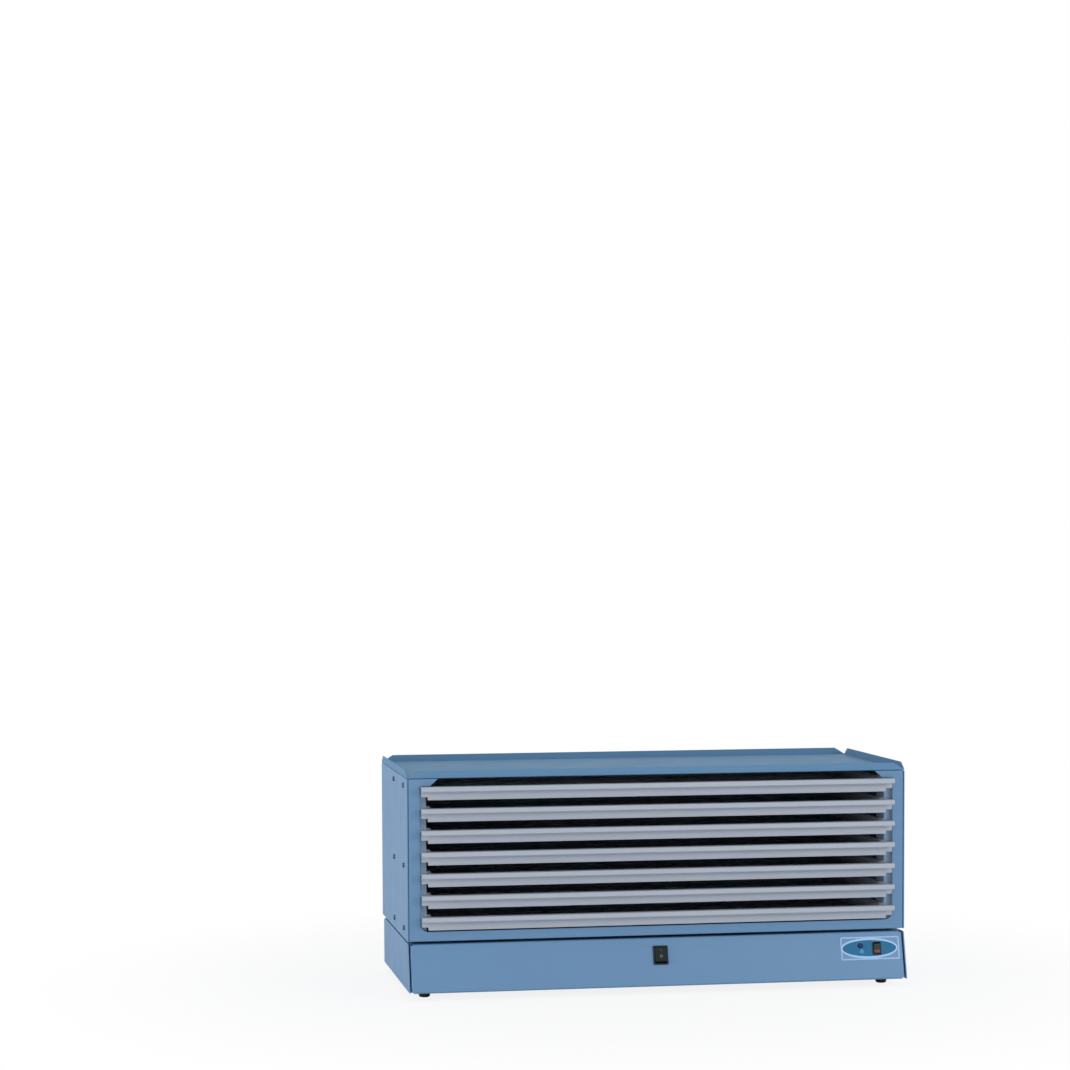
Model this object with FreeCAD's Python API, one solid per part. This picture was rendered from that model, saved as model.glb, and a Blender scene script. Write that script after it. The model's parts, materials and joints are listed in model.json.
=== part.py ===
import FreeCAD, Part
import math
import os

# Flatbed platelet agitator, in millimetres.
# A sheet-steel base stands on rubber feet and holds the drive.  Above it a carriage with seven
# drawers runs from side to side on two steel shafts.
# +X is the operator's right, -Y is the front, +Z is up.  The origin is on the floor, under the
# middle of the outer box.

# ---------------------------------------------------------------- driving dimensions
WIDTH = 800.0            # across the carriage's side panels
DEPTH = 358.0            # from the front panel's toe to the carriage's back
FOOT_HEIGHT = 12.0
BASE_HEIGHT = 74.5
AIR_GAP = 4.5            # between the fixed base and the moving carriage
HOUSING_HEIGHT = 253.5   # carriage without its tray
TRAY_RIM = 12.5
SHEET = 1.5              # gauge of the painted panels
THIN = 1.2               # gauge of the drawer pans
BEND = 1.0               # inside radius of a press-brake bend
OUTER_BEND = 1.4         # rounding of a bend that ends on a cut edge

BASE_WIDTH = 800.0
BASE_BACK_INSET = 19.0   # base back ahead of the carriage back
PANEL_LEAN = 20.0        # how far the front panel's toe stands ahead of its top
CARRIAGE_SETBACK = 18.0  # carriage front behind the panel's toe

STROKE = 38.0            # full side-to-side travel
DRAWER_COUNT = 7
DRAWER_PITCH = 33.83
FIRST_LIP_HEIGHT = 241.7  # top of the first drawer's lip above the carriage's underside

# ---------------------------------------------------------------- levels worked out from them
BASE_BOTTOM = FOOT_HEIGHT
BASE_TOP = BASE_BOTTOM + BASE_HEIGHT
HOUSING_BOTTOM = BASE_TOP + AIR_GAP
HOUSING_TOP = HOUSING_BOTTOM + HOUSING_HEIGHT
TOP = HOUSING_TOP + TRAY_RIM
TOE_Y = -DEPTH / 2
CARRIAGE_BACK = DEPTH / 2
CARRIAGE_FRONT = TOE_Y + CARRIAGE_SETBACK
CARRIAGE_MID = (CARRIAGE_FRONT + CARRIAGE_BACK) / 2
BASE_BACK = CARRIAGE_BACK - BASE_BACK_INSET
BASE_SIDE = BASE_WIDTH / 2
SIDE = WIDTH / 2
PANEL_SLOPE = math.hypot(PANEL_LEAN, BASE_HEIGHT)
PANEL_TILT = math.degrees(math.atan2(BASE_HEIGHT, PANEL_LEAN))
LIP_TOPS = [HOUSING_BOTTOM + FIRST_LIP_HEIGHT - DRAWER_PITCH * n for n in range(DRAWER_COUNT)]

# ---------------------------------------------------------------- carriage
FRAME_GAP = 0.8          # seam between the front frame and each side panel
STILE = 20.0             # width of the front frame's uprights
SILL = 15.0              # height of the front frame's bottom rail
SILL_CORNER = 12.5       # radius where stile and sill meet
STUB_LONG = 29.0         # stub of top rail beyond the stile, along its top
STUB_SHORT = 16.5        # the same along its lower edge
STUB_DEEP = 11.0
FRAME_RETURN = 8.0       # depth of the front frame's side flanges
PANEL_FLANGE = 14.0      # width of the panels' turned-in flanges
TRAY_SEAM = 0.6          # shadow gap under the tray
TRAY_CUT = 18.5          # how far each rim is cut back at its ends

COLUMN_INNER = 368.5     # inner face of the guide columns
COLUMN_SPANS = [(-152.0, -108.0), (-14.0, 22.0), (112.0, 150.0)]
COLUMN_WALL = 1.5
SCREW_Y = [-119.0, 4.0]
SCREW_HEIGHTS = [17.0, 115.5, 241.0]
SCREW_HEAD_R = 4.1
SCREW_HEAD_H = 2.4
SCREW_R = 1.75
SCREW_REACH = 6.0
HOLE_PLAY = 0.05

RUNNER_FRONT = -150.0
RUNNER_BACK = 150.0
RUNNER_REACH = 6.2       # how far a runner stands in from its column
RUNNER_WALL = 1.2
RUNNER_DROP = 10.0
SLIDE_PLAY = 0.15        # under a drawer's flange
SLIDE_HEADROOM = 0.3     # over it

# ---------------------------------------------------------------- drawers
LIP_HALF = 379.0
LIP_DEPTH = 12.0         # from the front plate out to the lip's face
LIP_HEIGHT = 7.8
LIP_HEM = 3.5
EAR_HALF = 378.0
EAR_HEIGHT = 16.0
FACE_HALF = 368.0
FACE_HEIGHT = 21.0
FACE_Y = CARRIAGE_FRONT - 5.0     # front of the drawer's face plate
PAN_FLANGE_EDGE = 366.9
PAN_WALL_X = 361.0
PAN_BACK = 168.0
PAN_FLANGE_DROP = 0.2    # pan flange below the lip's top
PAN_HEIGHT = 19.8
VENT_WIDTH = 5.0
VENT_LENGTH = 44.0
VENT_COLUMNS = 11
VENT_ROWS = 5
VENT_MARGIN = 15.0       # plain floor in front of the vents and behind them

# ---------------------------------------------------------------- drive
RAIL_SPREAD = 104.0      # each shaft's distance from the carriage's middle
SHAFT_R = 6.0
SHAFT_HALF = 284.0
SHAFT_Z = 56.0
SUPPORT_X = 272.0
BEARING_X = 200.0
BEARING_R = 10.5
BEARING_LENGTH = 30.0
BEARING_PLAY = 0.05
BLOCK_SIZE = (34.0, 34.0, 28.0)
RISER_WIDTH = 24.0
CRANK_X = -60.0
CRANK_THROW = STROKE / 2
CRANK_R = 30.0
LIGHTENING_R = 6.0       # hole opposite the crank pin
CRANK_BOTTOM = 57.0
CRANK_TOP = 65.0
PIN_R = 4.0
ROD_BOTTOM = 67.5
ROD_TOP = 74.5
ROD_LENGTH = 120.0
ROD_EYE_R = 11.0
ROD_BEARING_R = 7.0
GEARBOX_LOW = 24.0
GEARBOX_TOP = 50.0
GEARBOX_HALF = 26.0      # half its depth, front to back
BOSS_R = 9.0
MOTOR_R = 18.0
MOTOR_Z = 36.5
MOTOR_END = 100.0        # far end of the motor from the crank's axis
BRACKET_GAUGE = 2.0
DRIVE_LOW = 79.5         # underside of the drive bracket's web
OPEN_PIVOT_GAP = 1.0     # drive pin's end above the rod, where the linkage is open

# ---------------------------------------------------------------- controls on the front panel
SWITCH_X = 0.0
SWITCH_UP = 49.5         # up the slope from the panel's toe
OVERLAY_X = 342.1
OVERLAY_UP = 50.8
OVERLAY_SIZE = (97.0, 37.0)
OVERLAY_THICK = 0.4
ALARM_X = 352.9
ALARM_UP = 50.5
BUTTON_X = 326.2
BUTTON_UP = 55.2
BUTTON_R = 3.6

FOOT_R = 8.9
FOOT_TOE = 3.2           # rounding of each foot's lower edge
FOOT_X = 370.7
FOOT_Y = (-131.0, 128.0)
FOOT_RECESS_R = 4.0      # well for the screw's head
FOOT_RECESS = 5.0
FOOT_SCREW_R = 2.0
FOOT_HOLE_R = 2.1


# ---------------------------------------------------------------- drawing helpers
def lift(u, v, axis, at):
    """Point (u, v) of the plane across the axis, as a vector."""
    if axis == "x":
        return FreeCAD.Vector(at, u, v)
    if axis == "y":
        return FreeCAD.Vector(u, at, v)
    return FreeCAD.Vector(u, v, at)


def outline(points, radii, axis, at):
    """Closed wire through the points, with an arc of its own radius at each corner."""
    count = len(points)
    starts, edges = [], []
    for i in range(count):
        here = FreeCAD.Vector(points[i][0], points[i][1], 0)
        before = FreeCAD.Vector(points[i - 1][0], points[i - 1][1], 0) - here
        after = FreeCAD.Vector(points[(i + 1) % count][0], points[(i + 1) % count][1], 0) - here
        if radii[i] <= 0:
            starts.append((here, here, None))
            continue
        before.normalize()
        after.normalize()
        half = before.getAngle(after) / 2
        middle = before + after
        middle.normalize()
        set_back = radii[i] / math.tan(half)
        bulge = radii[i] / math.sin(half) - radii[i]
        starts.append((here + before * set_back, here + after * set_back, here + middle * bulge))
    for i in range(count):
        enter, leave, top = starts[i]
        if top is not None:
            arc = [lift(p.x, p.y, axis, at) for p in (enter, top, leave)]
            edges.append(Part.Arc(arc[0], arc[1], arc[2]).toShape())
        following = starts[(i + 1) % count][0]
        if (following - leave).Length > 1e-6:
            run = [lift(p.x, p.y, axis, at) for p in (leave, following)]
            edges.append(Part.makeLine(run[0], run[1]))
    return Part.Wire(edges)


def prism(points, axis, low, high, radii=None):
    """Solid between two planes across an axis, with the outline given in the plane."""
    wire = outline(points, radii or [0.0] * len(points), axis, low)
    return Part.Face(wire).extrude(lift(0, 0, axis, high - low))


def block(x0, x1, y0, y1, z0, z1):
    return Part.makeBox(x1 - x0, y1 - y0, z1 - z0, FreeCAD.Vector(x0, y0, z0))


def rectangle(u0, u1, v0, v1):
    return [(u0, v0), (u1, v0), (u1, v1), (u0, v1)]


def slab(u0, u1, v0, v1, corner, axis, low, high):
    """Plate with four rounded corners."""
    return prism(rectangle(u0, u1, v0, v1), axis, low, high, [corner] * 4)


def rod(radius, centre, axis, length):
    return Part.makeCylinder(radius, length, FreeCAD.Vector(*centre), FreeCAD.Vector(*axis))


def folded(path, gauge, axis, low, high, bend=BEND):
    """Folded sheet: the path is one face of it and the gauge is laid on the path's left."""
    lines = []
    for (u0, v0), (u1, v1) in zip(path, path[1:]):
        length = math.hypot(u1 - u0, v1 - v0)
        lines.append(((u1 - u0) / length, (v1 - v0) / length))
    far, near_radii, far_radii = [], [], []
    for i, (u, v) in enumerate(path):
        into = lines[max(i - 1, 0)]
        out = lines[min(i, len(lines) - 1)]
        turn = into[0] * out[1] - into[1] * out[0]
        share = gauge / (1 + into[0] * out[0] + into[1] * out[1])
        far.append((u - (into[1] + out[1]) * share, v + (into[0] + out[0]) * share))
        near_radii.append(0 if abs(turn) < 1e-9 else bend + gauge if turn > 0 else bend)
        far_radii.append(0 if abs(turn) < 1e-9 else bend if turn > 0 else bend + gauge)
    return prism(path + far[::-1], axis, low, high, near_radii + far_radii[::-1])


def mirror_x(shape):
    return shape.mirror(FreeCAD.Vector(0, 0, 0), FreeCAD.Vector(1, 0, 0))


def group(solids):
    return Part.makeCompound(solids)


def fuse(solids):
    whole = solids[0].fuse(solids[1:]) if len(solids) > 1 else solids[0]
    return whole.removeSplitter()


def on_panel(shape, x, up):
    """Moves a shape drawn about its own origin onto the leaning front panel, +Z outwards."""
    moved = shape.copy()
    moved.rotate(FreeCAD.Vector(0, 0, 0), FreeCAD.Vector(1, 0, 0), PANEL_TILT)
    moved.translate(panel_point(x, up))
    return moved


def panel_point(x, up):
    share = up / PANEL_SLOPE
    return FreeCAD.Vector(x, TOE_Y + PANEL_LEAN * share, BASE_BOTTOM + BASE_HEIGHT * share)


def cross_recess(reach, low, high):
    """Cutter for the driver's recess in a screw's head."""
    half = 0.4
    return group([block(-reach, reach, -half, half, low, high),
                  block(-half, half, -reach, reach, low, high)])


def pan_head_screw(x, y, z, axis, reach, head_r=SCREW_HEAD_R, head_h=SCREW_HEAD_H, r=SCREW_R):
    """Domed screw whose head sits on the point and whose shank runs against the axis."""
    head = rod(head_r, (0, 0, 0), (0, 0, 1), head_h)
    rim = [edge for edge in head.Edges if abs(edge.BoundBox.ZMin - head_h) < 1e-6]
    head = head.makeFillet(head_h * 0.6, rim)
    screw = head.cut(cross_recess(head_r * 0.7, head_h * 0.5, head_h))
    screw = screw.fuse(rod(r, (0, 0, -reach), (0, 0, 1), reach))
    screw.Placement = FreeCAD.Placement(
        FreeCAD.Vector(x, y, z), FreeCAD.Rotation(FreeCAD.Vector(0, 0, 1), FreeCAD.Vector(*axis)))
    return screw


# ---------------------------------------------------------------- base
DECK_SCREWS = [(x, -151.0) for x in (-384.0, -200.0, 200.0, 384.0)]
DECK_SCREWS += [(x, y) for x in (-391.0, 391.0) for y in (0.0, 130.0)]
FLUSH_R = 3.2            # countersunk head of a deck screw
FLUSH_DEPTH = 1.3
REAR_SCREWS = [(x, z) for x in (-391.0, 391.0) for z in (28.0, 72.0)]
INLET_X = 300.0
INLET_Z = 50.0
INLET_CUT = (27.4, 19.4)
FLOOR_FRONT = TOE_Y + 18.5
RIM_FOLD = 14.0          # depth of the front panel's folded top
END_GAP = 2.0            # seam between each side wall and the front panel's end
END_BEND = 3.5           # outside radius of the front panel's upright bends
END_STRIP = 4.5          # width of each bent end, seen from the front
END_RELIEF = 2.0         # how far it stops short of the folds above and below it


def leaning_side(low, high):
    """Side-on outline of the base, whose front edge leans back with the front panel."""
    points = [(TOE_Y, BASE_BOTTOM), (BASE_BACK, BASE_BOTTOM), (BASE_BACK, BASE_TOP),
              (TOE_Y + PANEL_LEAN, BASE_TOP)]
    return prism(points, "x", low, high)


def base_pan():
    """Floor, two side walls with turned-in tops, and a flange at each rear corner."""
    flange = BASE_SIDE - PANEL_FLANGE
    path = [(-flange, BASE_TOP), (-BASE_SIDE, BASE_TOP), (-BASE_SIDE, BASE_BOTTOM),
            (BASE_SIDE, BASE_BOTTOM), (BASE_SIDE, BASE_TOP), (flange, BASE_TOP)]
    back = BASE_BACK - SHEET
    pan = folded(path, SHEET, "y", TOE_Y, back)
    pan = pan.common(leaning_side(-BASE_SIDE, BASE_SIDE))
    inner = BASE_SIDE - SHEET
    pan = pan.cut(block(-inner, inner, TOE_Y, FLOOR_FRONT, BASE_BOTTOM - 1, BASE_TOP + 1))
    rim_front = TOE_Y + PANEL_LEAN + RIM_FOLD + 0.4
    pan = pan.cut(block(-inner, inner, TOE_Y, rim_front, BASE_TOP - 2 * SHEET - BEND, BASE_TOP + 1))
    for side in (-1, 1):
        x0, x1 = sorted((side * inner, side * (inner - PANEL_FLANGE)))
        pan = pan.fuse(block(x0, x1, back - SHEET, back, BASE_BOTTOM + SHEET, BASE_TOP - SHEET))
    for x in (-FOOT_X, FOOT_X):
        for y in FOOT_Y:
            pan = pan.cut(rod(FOOT_HOLE_R, (x, y, BASE_BOTTOM - 1), (0, 0, 1), SHEET + 2))
    for x, z in REAR_SCREWS:
        pan = pan.cut(rod(SCREW_R + HOLE_PLAY, (x, back - 3, z), (0, 1, 0), 5))
    return pan.cut(deck_screw_holes()).removeSplitter()


def panel_end():
    """Upright bend at the front panel's right end, with the flange that it turns back into."""
    half = BASE_SIDE - SHEET - END_GAP
    path = [(half - END_STRIP, 0), (half, 0), (half, RIM_FOLD)]
    end = folded(path, SHEET, "z", -RIM_FOLD, PANEL_SLOPE + RIM_FOLD, END_BEND - SHEET)
    end.rotate(FreeCAD.Vector(0, 0, 0), FreeCAD.Vector(1, 0, 0), PANEL_TILT - 90)
    end.translate(FreeCAD.Vector(0, TOE_Y, BASE_BOTTOM))
    return end.common(block(0, BASE_SIDE, TOE_Y - RIM_FOLD, TOE_Y + PANEL_LEAN + 2 * RIM_FOLD,
                            BASE_BOTTOM + END_RELIEF, BASE_TOP - END_RELIEF))


def base_front_panel():
    """Leaning panel, folded back at its top, foot and both ends, with the control cut-outs."""
    straight = BASE_SIDE - SHEET - END_GAP - END_STRIP
    top_y = TOE_Y + PANEL_LEAN
    path = [(top_y + RIM_FOLD, BASE_TOP), (top_y, BASE_TOP), (TOE_Y, BASE_BOTTOM),
            (FLOOR_FRONT - SHEET, BASE_BOTTOM)]
    panel = folded(path, SHEET, "x", -straight, straight)
    end = panel_end()
    panel = fuse([panel, end, mirror_x(end)])
    cuts = []
    for bezel, x, up in ((POWER_BEZEL, SWITCH_X, SWITCH_UP), (ALARM_BEZEL, ALARM_X, ALARM_UP)):
        half_w, half_h = case_sizes(bezel)
        half_w += CASE_PLAY
        half_h += CASE_PLAY
        cuts.append(on_panel(block(-half_w, half_w, -half_h, half_h, -9, 2), x, up))
    cuts.append(on_panel(rod(BARREL_R + HOLE_PLAY, (0, 0, -9), (0, 0, 1), 11), BUTTON_X, BUTTON_UP))
    return panel.cut(group(cuts)).cut(deck_screw_holes())


def base_rear_panel():
    """Flat plate over the rear corner flanges, with the inlet cut-out and two vent groups."""
    half = BASE_SIDE - SHEET - 0.4
    plate = slab(-half, half, BASE_BOTTOM, BASE_TOP, 2.0, "y", BASE_BACK - SHEET, BASE_BACK)
    holes = []
    for centre in (-160.0, 160.0):
        for n in range(12):
            x = centre + (n - 5.5) * 10.0
            holes.append(slab(x - 2, x + 2, 34, 66, 1.9, "y", BASE_BACK - 5, BASE_BACK + 1))
    w, h = INLET_CUT
    holes.append(block(INLET_X - w / 2, INLET_X + w / 2, BASE_BACK - 5, BASE_BACK + 1,
                       INLET_Z - h / 2, INLET_Z + h / 2))
    for x, z in REAR_SCREWS:
        holes.append(rod(SCREW_R + HOLE_PLAY, (x, BASE_BACK - 5, z), (0, 1, 0), 7))
    return plate.cut(group(holes))


def deck_screw_holes():
    """Countersunk holes through the folded rims and the deck under them."""
    holes = []
    for x, y in DECK_SCREWS:
        shank = rod(SCREW_R + HOLE_PLAY, (x, y, BASE_TOP - 5), (0, 0, 1), 6)
        sink = Part.makeCone(SCREW_R + HOLE_PLAY, FLUSH_R + HOLE_PLAY, FLUSH_DEPTH,
                             FreeCAD.Vector(x, y, BASE_TOP - FLUSH_DEPTH))
        above = rod(FLUSH_R + HOLE_PLAY, (x, y, BASE_TOP), (0, 0, 1), 1)
        holes.append(fuse([shank, sink, above]))
    return group(holes)


def base_top_plate():
    """Deck under the folded rims, slotted where the carriage's brackets come through."""
    half = BASE_SIDE - 5.0
    deck = slab(-half, half, TOE_Y + PANEL_LEAN + 4, BASE_BACK - 4.5, 3.0, "z",
                BASE_TOP - 2 * SHEET, BASE_TOP - SHEET)
    slots = []
    for x in (-BEARING_X, BEARING_X):
        for y in rail_ys():
            reach = BLOCK_SIZE[0] / 2 + STROKE / 2 + 4
            wide = RISER_WIDTH / 2 + 3
            slots.append(slab(x - reach, x + reach, y - wide, y + wide, 6.0, "z", BASE_TOP - 5, BASE_TOP))
    reach = 14 + STROKE / 2 + 4
    slots.append(slab(drive_x() - reach, drive_x() + reach, CARRIAGE_MID - 17, CARRIAGE_MID + 17, 6.0,
                      "z", BASE_TOP - 5, BASE_TOP))
    return deck.cut(group(slots)).cut(deck_screw_holes())


def rubber_feet():
    """Four round rubber feet, each recessed for its screw's head."""
    feet = []
    for x in (-FOOT_X, FOOT_X):
        for y in FOOT_Y:
            foot = rod(FOOT_R, (x, y, 0), (0, 0, 1), FOOT_HEIGHT)
            toe = [edge for edge in foot.Edges if edge.BoundBox.ZMax < 1e-6]
            foot = foot.makeFillet(FOOT_TOE, toe)
            foot = foot.cut(rod(FOOT_RECESS_R, (x, y, -1), (0, 0, 1), FOOT_RECESS + 1))
            feet.append(foot.cut(rod(FOOT_HOLE_R, (x, y, 0), (0, 0, 1), FOOT_HEIGHT + 1)))
    return group(feet)


def foot_screws():
    """Screw up through each foot and the floor, with its nut inside."""
    screws = []
    nut_low = BASE_BOTTOM + SHEET
    nut_high = nut_low + 3.2
    for x in (-FOOT_X, FOOT_X):
        for y in FOOT_Y:
            head = rod(FOOT_RECESS_R - 0.4, (x, y, FOOT_RECESS - 2.4), (0, 0, 1), 2.4)
            shank = rod(FOOT_SCREW_R, (x, y, FOOT_RECESS - 0.5), (0, 0, 1), nut_high + 2.5 - FOOT_RECESS)
            nut = prism(hexagon(x, y, 4.04), "z", nut_low, nut_high)
            screws.append(fuse([head, shank, nut]))
    return group(screws)


def hexagon(x, y, radius):
    turns = [math.radians(60 * n) for n in range(6)]
    return [(x + radius * math.cos(a), y + radius * math.sin(a)) for a in turns]


def flush_screw(x, y):
    """Countersunk screw, level with the deck's rim."""
    head = Part.makeCone(SCREW_R, FLUSH_R, FLUSH_DEPTH, FreeCAD.Vector(x, y, BASE_TOP - FLUSH_DEPTH))
    shank = rod(SCREW_R, (x, y, BASE_TOP - 3 * SHEET), (0, 0, 1), 3 * SHEET - FLUSH_DEPTH)
    recess = cross_recess(FLUSH_R * 0.6, -0.8, 1.0)
    recess.translate(FreeCAD.Vector(x, y, BASE_TOP))
    return head.fuse(shank).cut(recess)


def base_screws():
    """Rear-panel screws, and those that hold the deck under the folded rims."""
    rear = [pan_head_screw(x, BASE_BACK, z, (0, 1, 0), 3 * SHEET) for x, z in REAR_SCREWS]
    deck = [flush_screw(x, y) for x, y in DECK_SCREWS]
    return group(rear + deck)


# ---------------------------------------------------------------- guides and drive
def rail_ys():
    return (CARRIAGE_MID - RAIL_SPREAD, CARRIAGE_MID + RAIL_SPREAD)


def guide_shafts():
    return group([rod(SHAFT_R, (-SHAFT_HALF, y, SHAFT_Z), (1, 0, 0), 2 * SHAFT_HALF) for y in rail_ys()])


def shaft_supports():
    """Clamping block under each end of each shaft."""
    blocks = []
    floor = BASE_BOTTOM + SHEET
    for x in (-SUPPORT_X, SUPPORT_X):
        for y in rail_ys():
            points = [(y - 20, floor), (y + 20, floor), (y + 20, floor + 8), (y + 11, floor + 8),
                      (y + 11, SHAFT_Z + 11), (y - 11, SHAFT_Z + 11), (y - 11, floor + 8),
                      (y - 20, floor + 8)]
            radii = [0, 0, 2, 3, 3, 3, 3, 2]
            body = prism(points, "x", x - 12, x + 12, radii)
            body = body.cut(rod(SHAFT_R, (x - 13, y, SHAFT_Z), (1, 0, 0), 26))
            blocks.append(body.cut(block(x - 13, x + 13, y - 0.6, y + 0.6, SHAFT_Z + 3, SHAFT_Z + 12)))
    return group(blocks)


def drive_x():
    """Carriage drive pin at mid-stroke, with the crank square to the travel."""
    return CRANK_X + math.sqrt(ROD_LENGTH ** 2 - CRANK_THROW ** 2)


def gear_motor():
    """Right-angle gearbox with an upright output shaft, and its motor lying along X."""
    y = CARRIAGE_MID
    box = slab(CRANK_X - 32, CRANK_X + 28, y - GEARBOX_HALF, y + GEARBOX_HALF, 8.0, "z",
               GEARBOX_LOW, GEARBOX_TOP)
    can = rod(MOTOR_R, (CRANK_X - MOTOR_END, y, MOTOR_Z), (1, 0, 0), MOTOR_END - 30)
    cap = rod(MOTOR_R - 4, (CRANK_X - MOTOR_END - 4, y, MOTOR_Z), (1, 0, 0), 5)
    boss = rod(BOSS_R, (CRANK_X, y, GEARBOX_TOP - 1), (0, 0, 1), 4)
    shaft = rod(PIN_R, (CRANK_X, y, GEARBOX_TOP), (0, 0, 1), CRANK_TOP - GEARBOX_TOP)
    return fuse([box, can, cap, boss, shaft])


def motor_bracket():
    """Bridge over the gearbox with a foot each side on the base's floor."""
    y = CARRIAGE_MID
    floor = BASE_BOTTOM + SHEET
    leg, foot = GEARBOX_HALF + 6, GEARBOX_HALF + 24
    path = [(y - foot, floor), (y - leg, floor), (y - leg, GEARBOX_TOP), (y + leg, GEARBOX_TOP),
            (y + leg, floor), (y + foot, floor)]
    bridge = folded(path, BRACKET_GAUGE, "x", CRANK_X - 26, CRANK_X + 26)
    bridge = bridge.cut(rod(BOSS_R + 0.5, (CRANK_X, y, GEARBOX_TOP - 5), (0, 0, 1), 10))
    for x in (CRANK_X - 16, CRANK_X + 16):
        for hole in (y - foot + 7, y + foot - 7):
            bridge = bridge.cut(rod(2.2, (x, hole, floor - 1), (0, 0, 1), 5))
    return bridge


def crank_disc():
    """Disc on the gearbox shaft, drilled off centre for the crank pin."""
    y = CARRIAGE_MID
    disc = rod(CRANK_R, (CRANK_X, y, CRANK_BOTTOM), (0, 0, 1), CRANK_TOP - CRANK_BOTTOM)
    rims = [edge for edge in disc.Edges if edge.BoundBox.ZLength < 1e-6]
    disc = disc.makeChamfer(0.8, rims)
    hub_low = CRANK_BOTTOM - 2.5
    disc = disc.fuse(rod(10.0, (CRANK_X, y, hub_low), (0, 0, 1), 3.5))
    through = CRANK_TOP - hub_low + 2
    for dy, radius in ((0, PIN_R), (CRANK_THROW, PIN_R), (-CRANK_THROW, LIGHTENING_R)):
        disc = disc.cut(rod(radius, (CRANK_X, y + dy, hub_low - 1), (0, 0, 1), through))
    return disc.removeSplitter()


def crank_pin():
    """Shoulder bolt that carries the rod's near eye."""
    x, y = CRANK_X, CARRIAGE_MID + CRANK_THROW
    pin = rod(PIN_R, (x, y, CRANK_BOTTOM), (0, 0, 1), ROD_TOP + 1 - CRANK_BOTTOM)
    collar = rod(6.5, (x, y, CRANK_TOP), (0, 0, 1), ROD_BOTTOM - 0.5 - CRANK_TOP)
    head = prism(hexagon(x, y, 7.0), "z", ROD_TOP + 0.5, ROD_TOP + 4.0)
    return fuse([pin, collar, head])


def connecting_rod():
    """Flat link with a bored eye at each end."""
    near = (CRANK_X, CARRIAGE_MID + CRANK_THROW)
    far = (drive_x(), CARRIAGE_MID)
    heading = math.degrees(math.atan2(far[1] - near[1], far[0] - near[0]))
    bar = slab(0, ROD_LENGTH, -6.5, 6.5, 0.5, "z", ROD_BOTTOM, ROD_TOP)
    eyes = [rod(ROD_EYE_R, (x, 0, ROD_BOTTOM), (0, 0, 1), ROD_TOP - ROD_BOTTOM) for x in (0, ROD_LENGTH)]
    link = fuse([bar] + eyes)
    bores = [rod(ROD_BEARING_R, (x, 0, ROD_BOTTOM - 1), (0, 0, 1), 12) for x in (0, ROD_LENGTH)]
    link = link.cut(group(bores))
    link.rotate(FreeCAD.Vector(0, 0, 0), FreeCAD.Vector(0, 0, 1), heading)
    link.translate(FreeCAD.Vector(near[0], near[1], 0))
    return link


def rod_bearings():
    """Bronze bush in each eye."""
    places = [(CRANK_X, CARRIAGE_MID + CRANK_THROW), (drive_x(), CARRIAGE_MID)]
    bushes = []
    for x, y in places:
        bush = rod(ROD_BEARING_R, (x, y, ROD_BOTTOM), (0, 0, 1), ROD_TOP - ROD_BOTTOM)
        bushes.append(bush.cut(rod(PIN_R + BEARING_PLAY, (x, y, ROD_BOTTOM - 1), (0, 0, 1), 12)))
    return group(bushes)


# ---------------------------------------------------------------- electrics
SUPPLY_X = (-340.0, -230.0)
SUPPLY_Y = (-40.0, 45.0)
SUPPLY_HEIGHT = 36.0
BOARD_X = (90.0, 160.0)
BOARD_Y = (-62.0, 8.0)
BOARD_RISE = 10.0
BOARD_THICK = 1.6
CELL_X = (300.0, 348.0)
CELL_Y = (-50.0, -24.0)
CLIP_THICK = 1.2
BUZZER_AT = (320.0, 20.0)
BUZZER_R = 14.0
BUZZER_HEIGHT = 13.0
SENSOR_X = 130.0
SENSOR_Y = 60.0


def power_supply():
    """Perforated metal case with a terminal strip on one end."""
    floor = BASE_BOTTOM + SHEET
    x0, x1 = SUPPLY_X
    y0, y1 = SUPPLY_Y
    lid = floor + SUPPLY_HEIGHT
    case = slab(x0, x1, y0, y1, 2.0, "z", floor, lid)
    slots = []
    for n in range(7):
        x = x0 + 12 + n * 13
        slots.append(slab(x, x + 4, y0 + 15, y1 - 15, 1.9, "z", lid - 1.5, lid + 4))
    strip = block(x1, x1 + 10, y0 + 6, y1 - 6, floor, floor + 16)
    return fuse([case.cut(group(slots)), strip])


def control_board():
    """Board on four pillars with its larger components."""
    floor = BASE_BOTTOM + SHEET
    x0, x1 = BOARD_X
    y0, y1 = BOARD_Y
    level = floor + BOARD_RISE
    face = level + BOARD_THICK
    board = slab(x0, x1, y0, y1, 3.0, "z", level, face)
    pillars = [rod(2.5, (x, y, floor), (0, 0, 1), BOARD_RISE)
               for x in (x0 + 5, x1 - 5) for y in (y0 + 5, y1 - 5)]
    relay = block(x0 + 10, x0 + 29, y0 + 12, y0 + 28, face, face + 15.4)
    chip = block(x0 + 36, x0 + 58, y0 + 16, y0 + 24, face, face + 3.4)
    caps = [rod(4.0, (x0 + 18 + 12 * n, y1 - 14, face), (0, 0, 1), 12) for n in range(3)]
    plug = block(x1 - 22, x1 - 6, y1 - 30, y1 - 22, face, face + 10.4)
    return fuse([board] + pillars + [relay, chip, plug] + caps)


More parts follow.
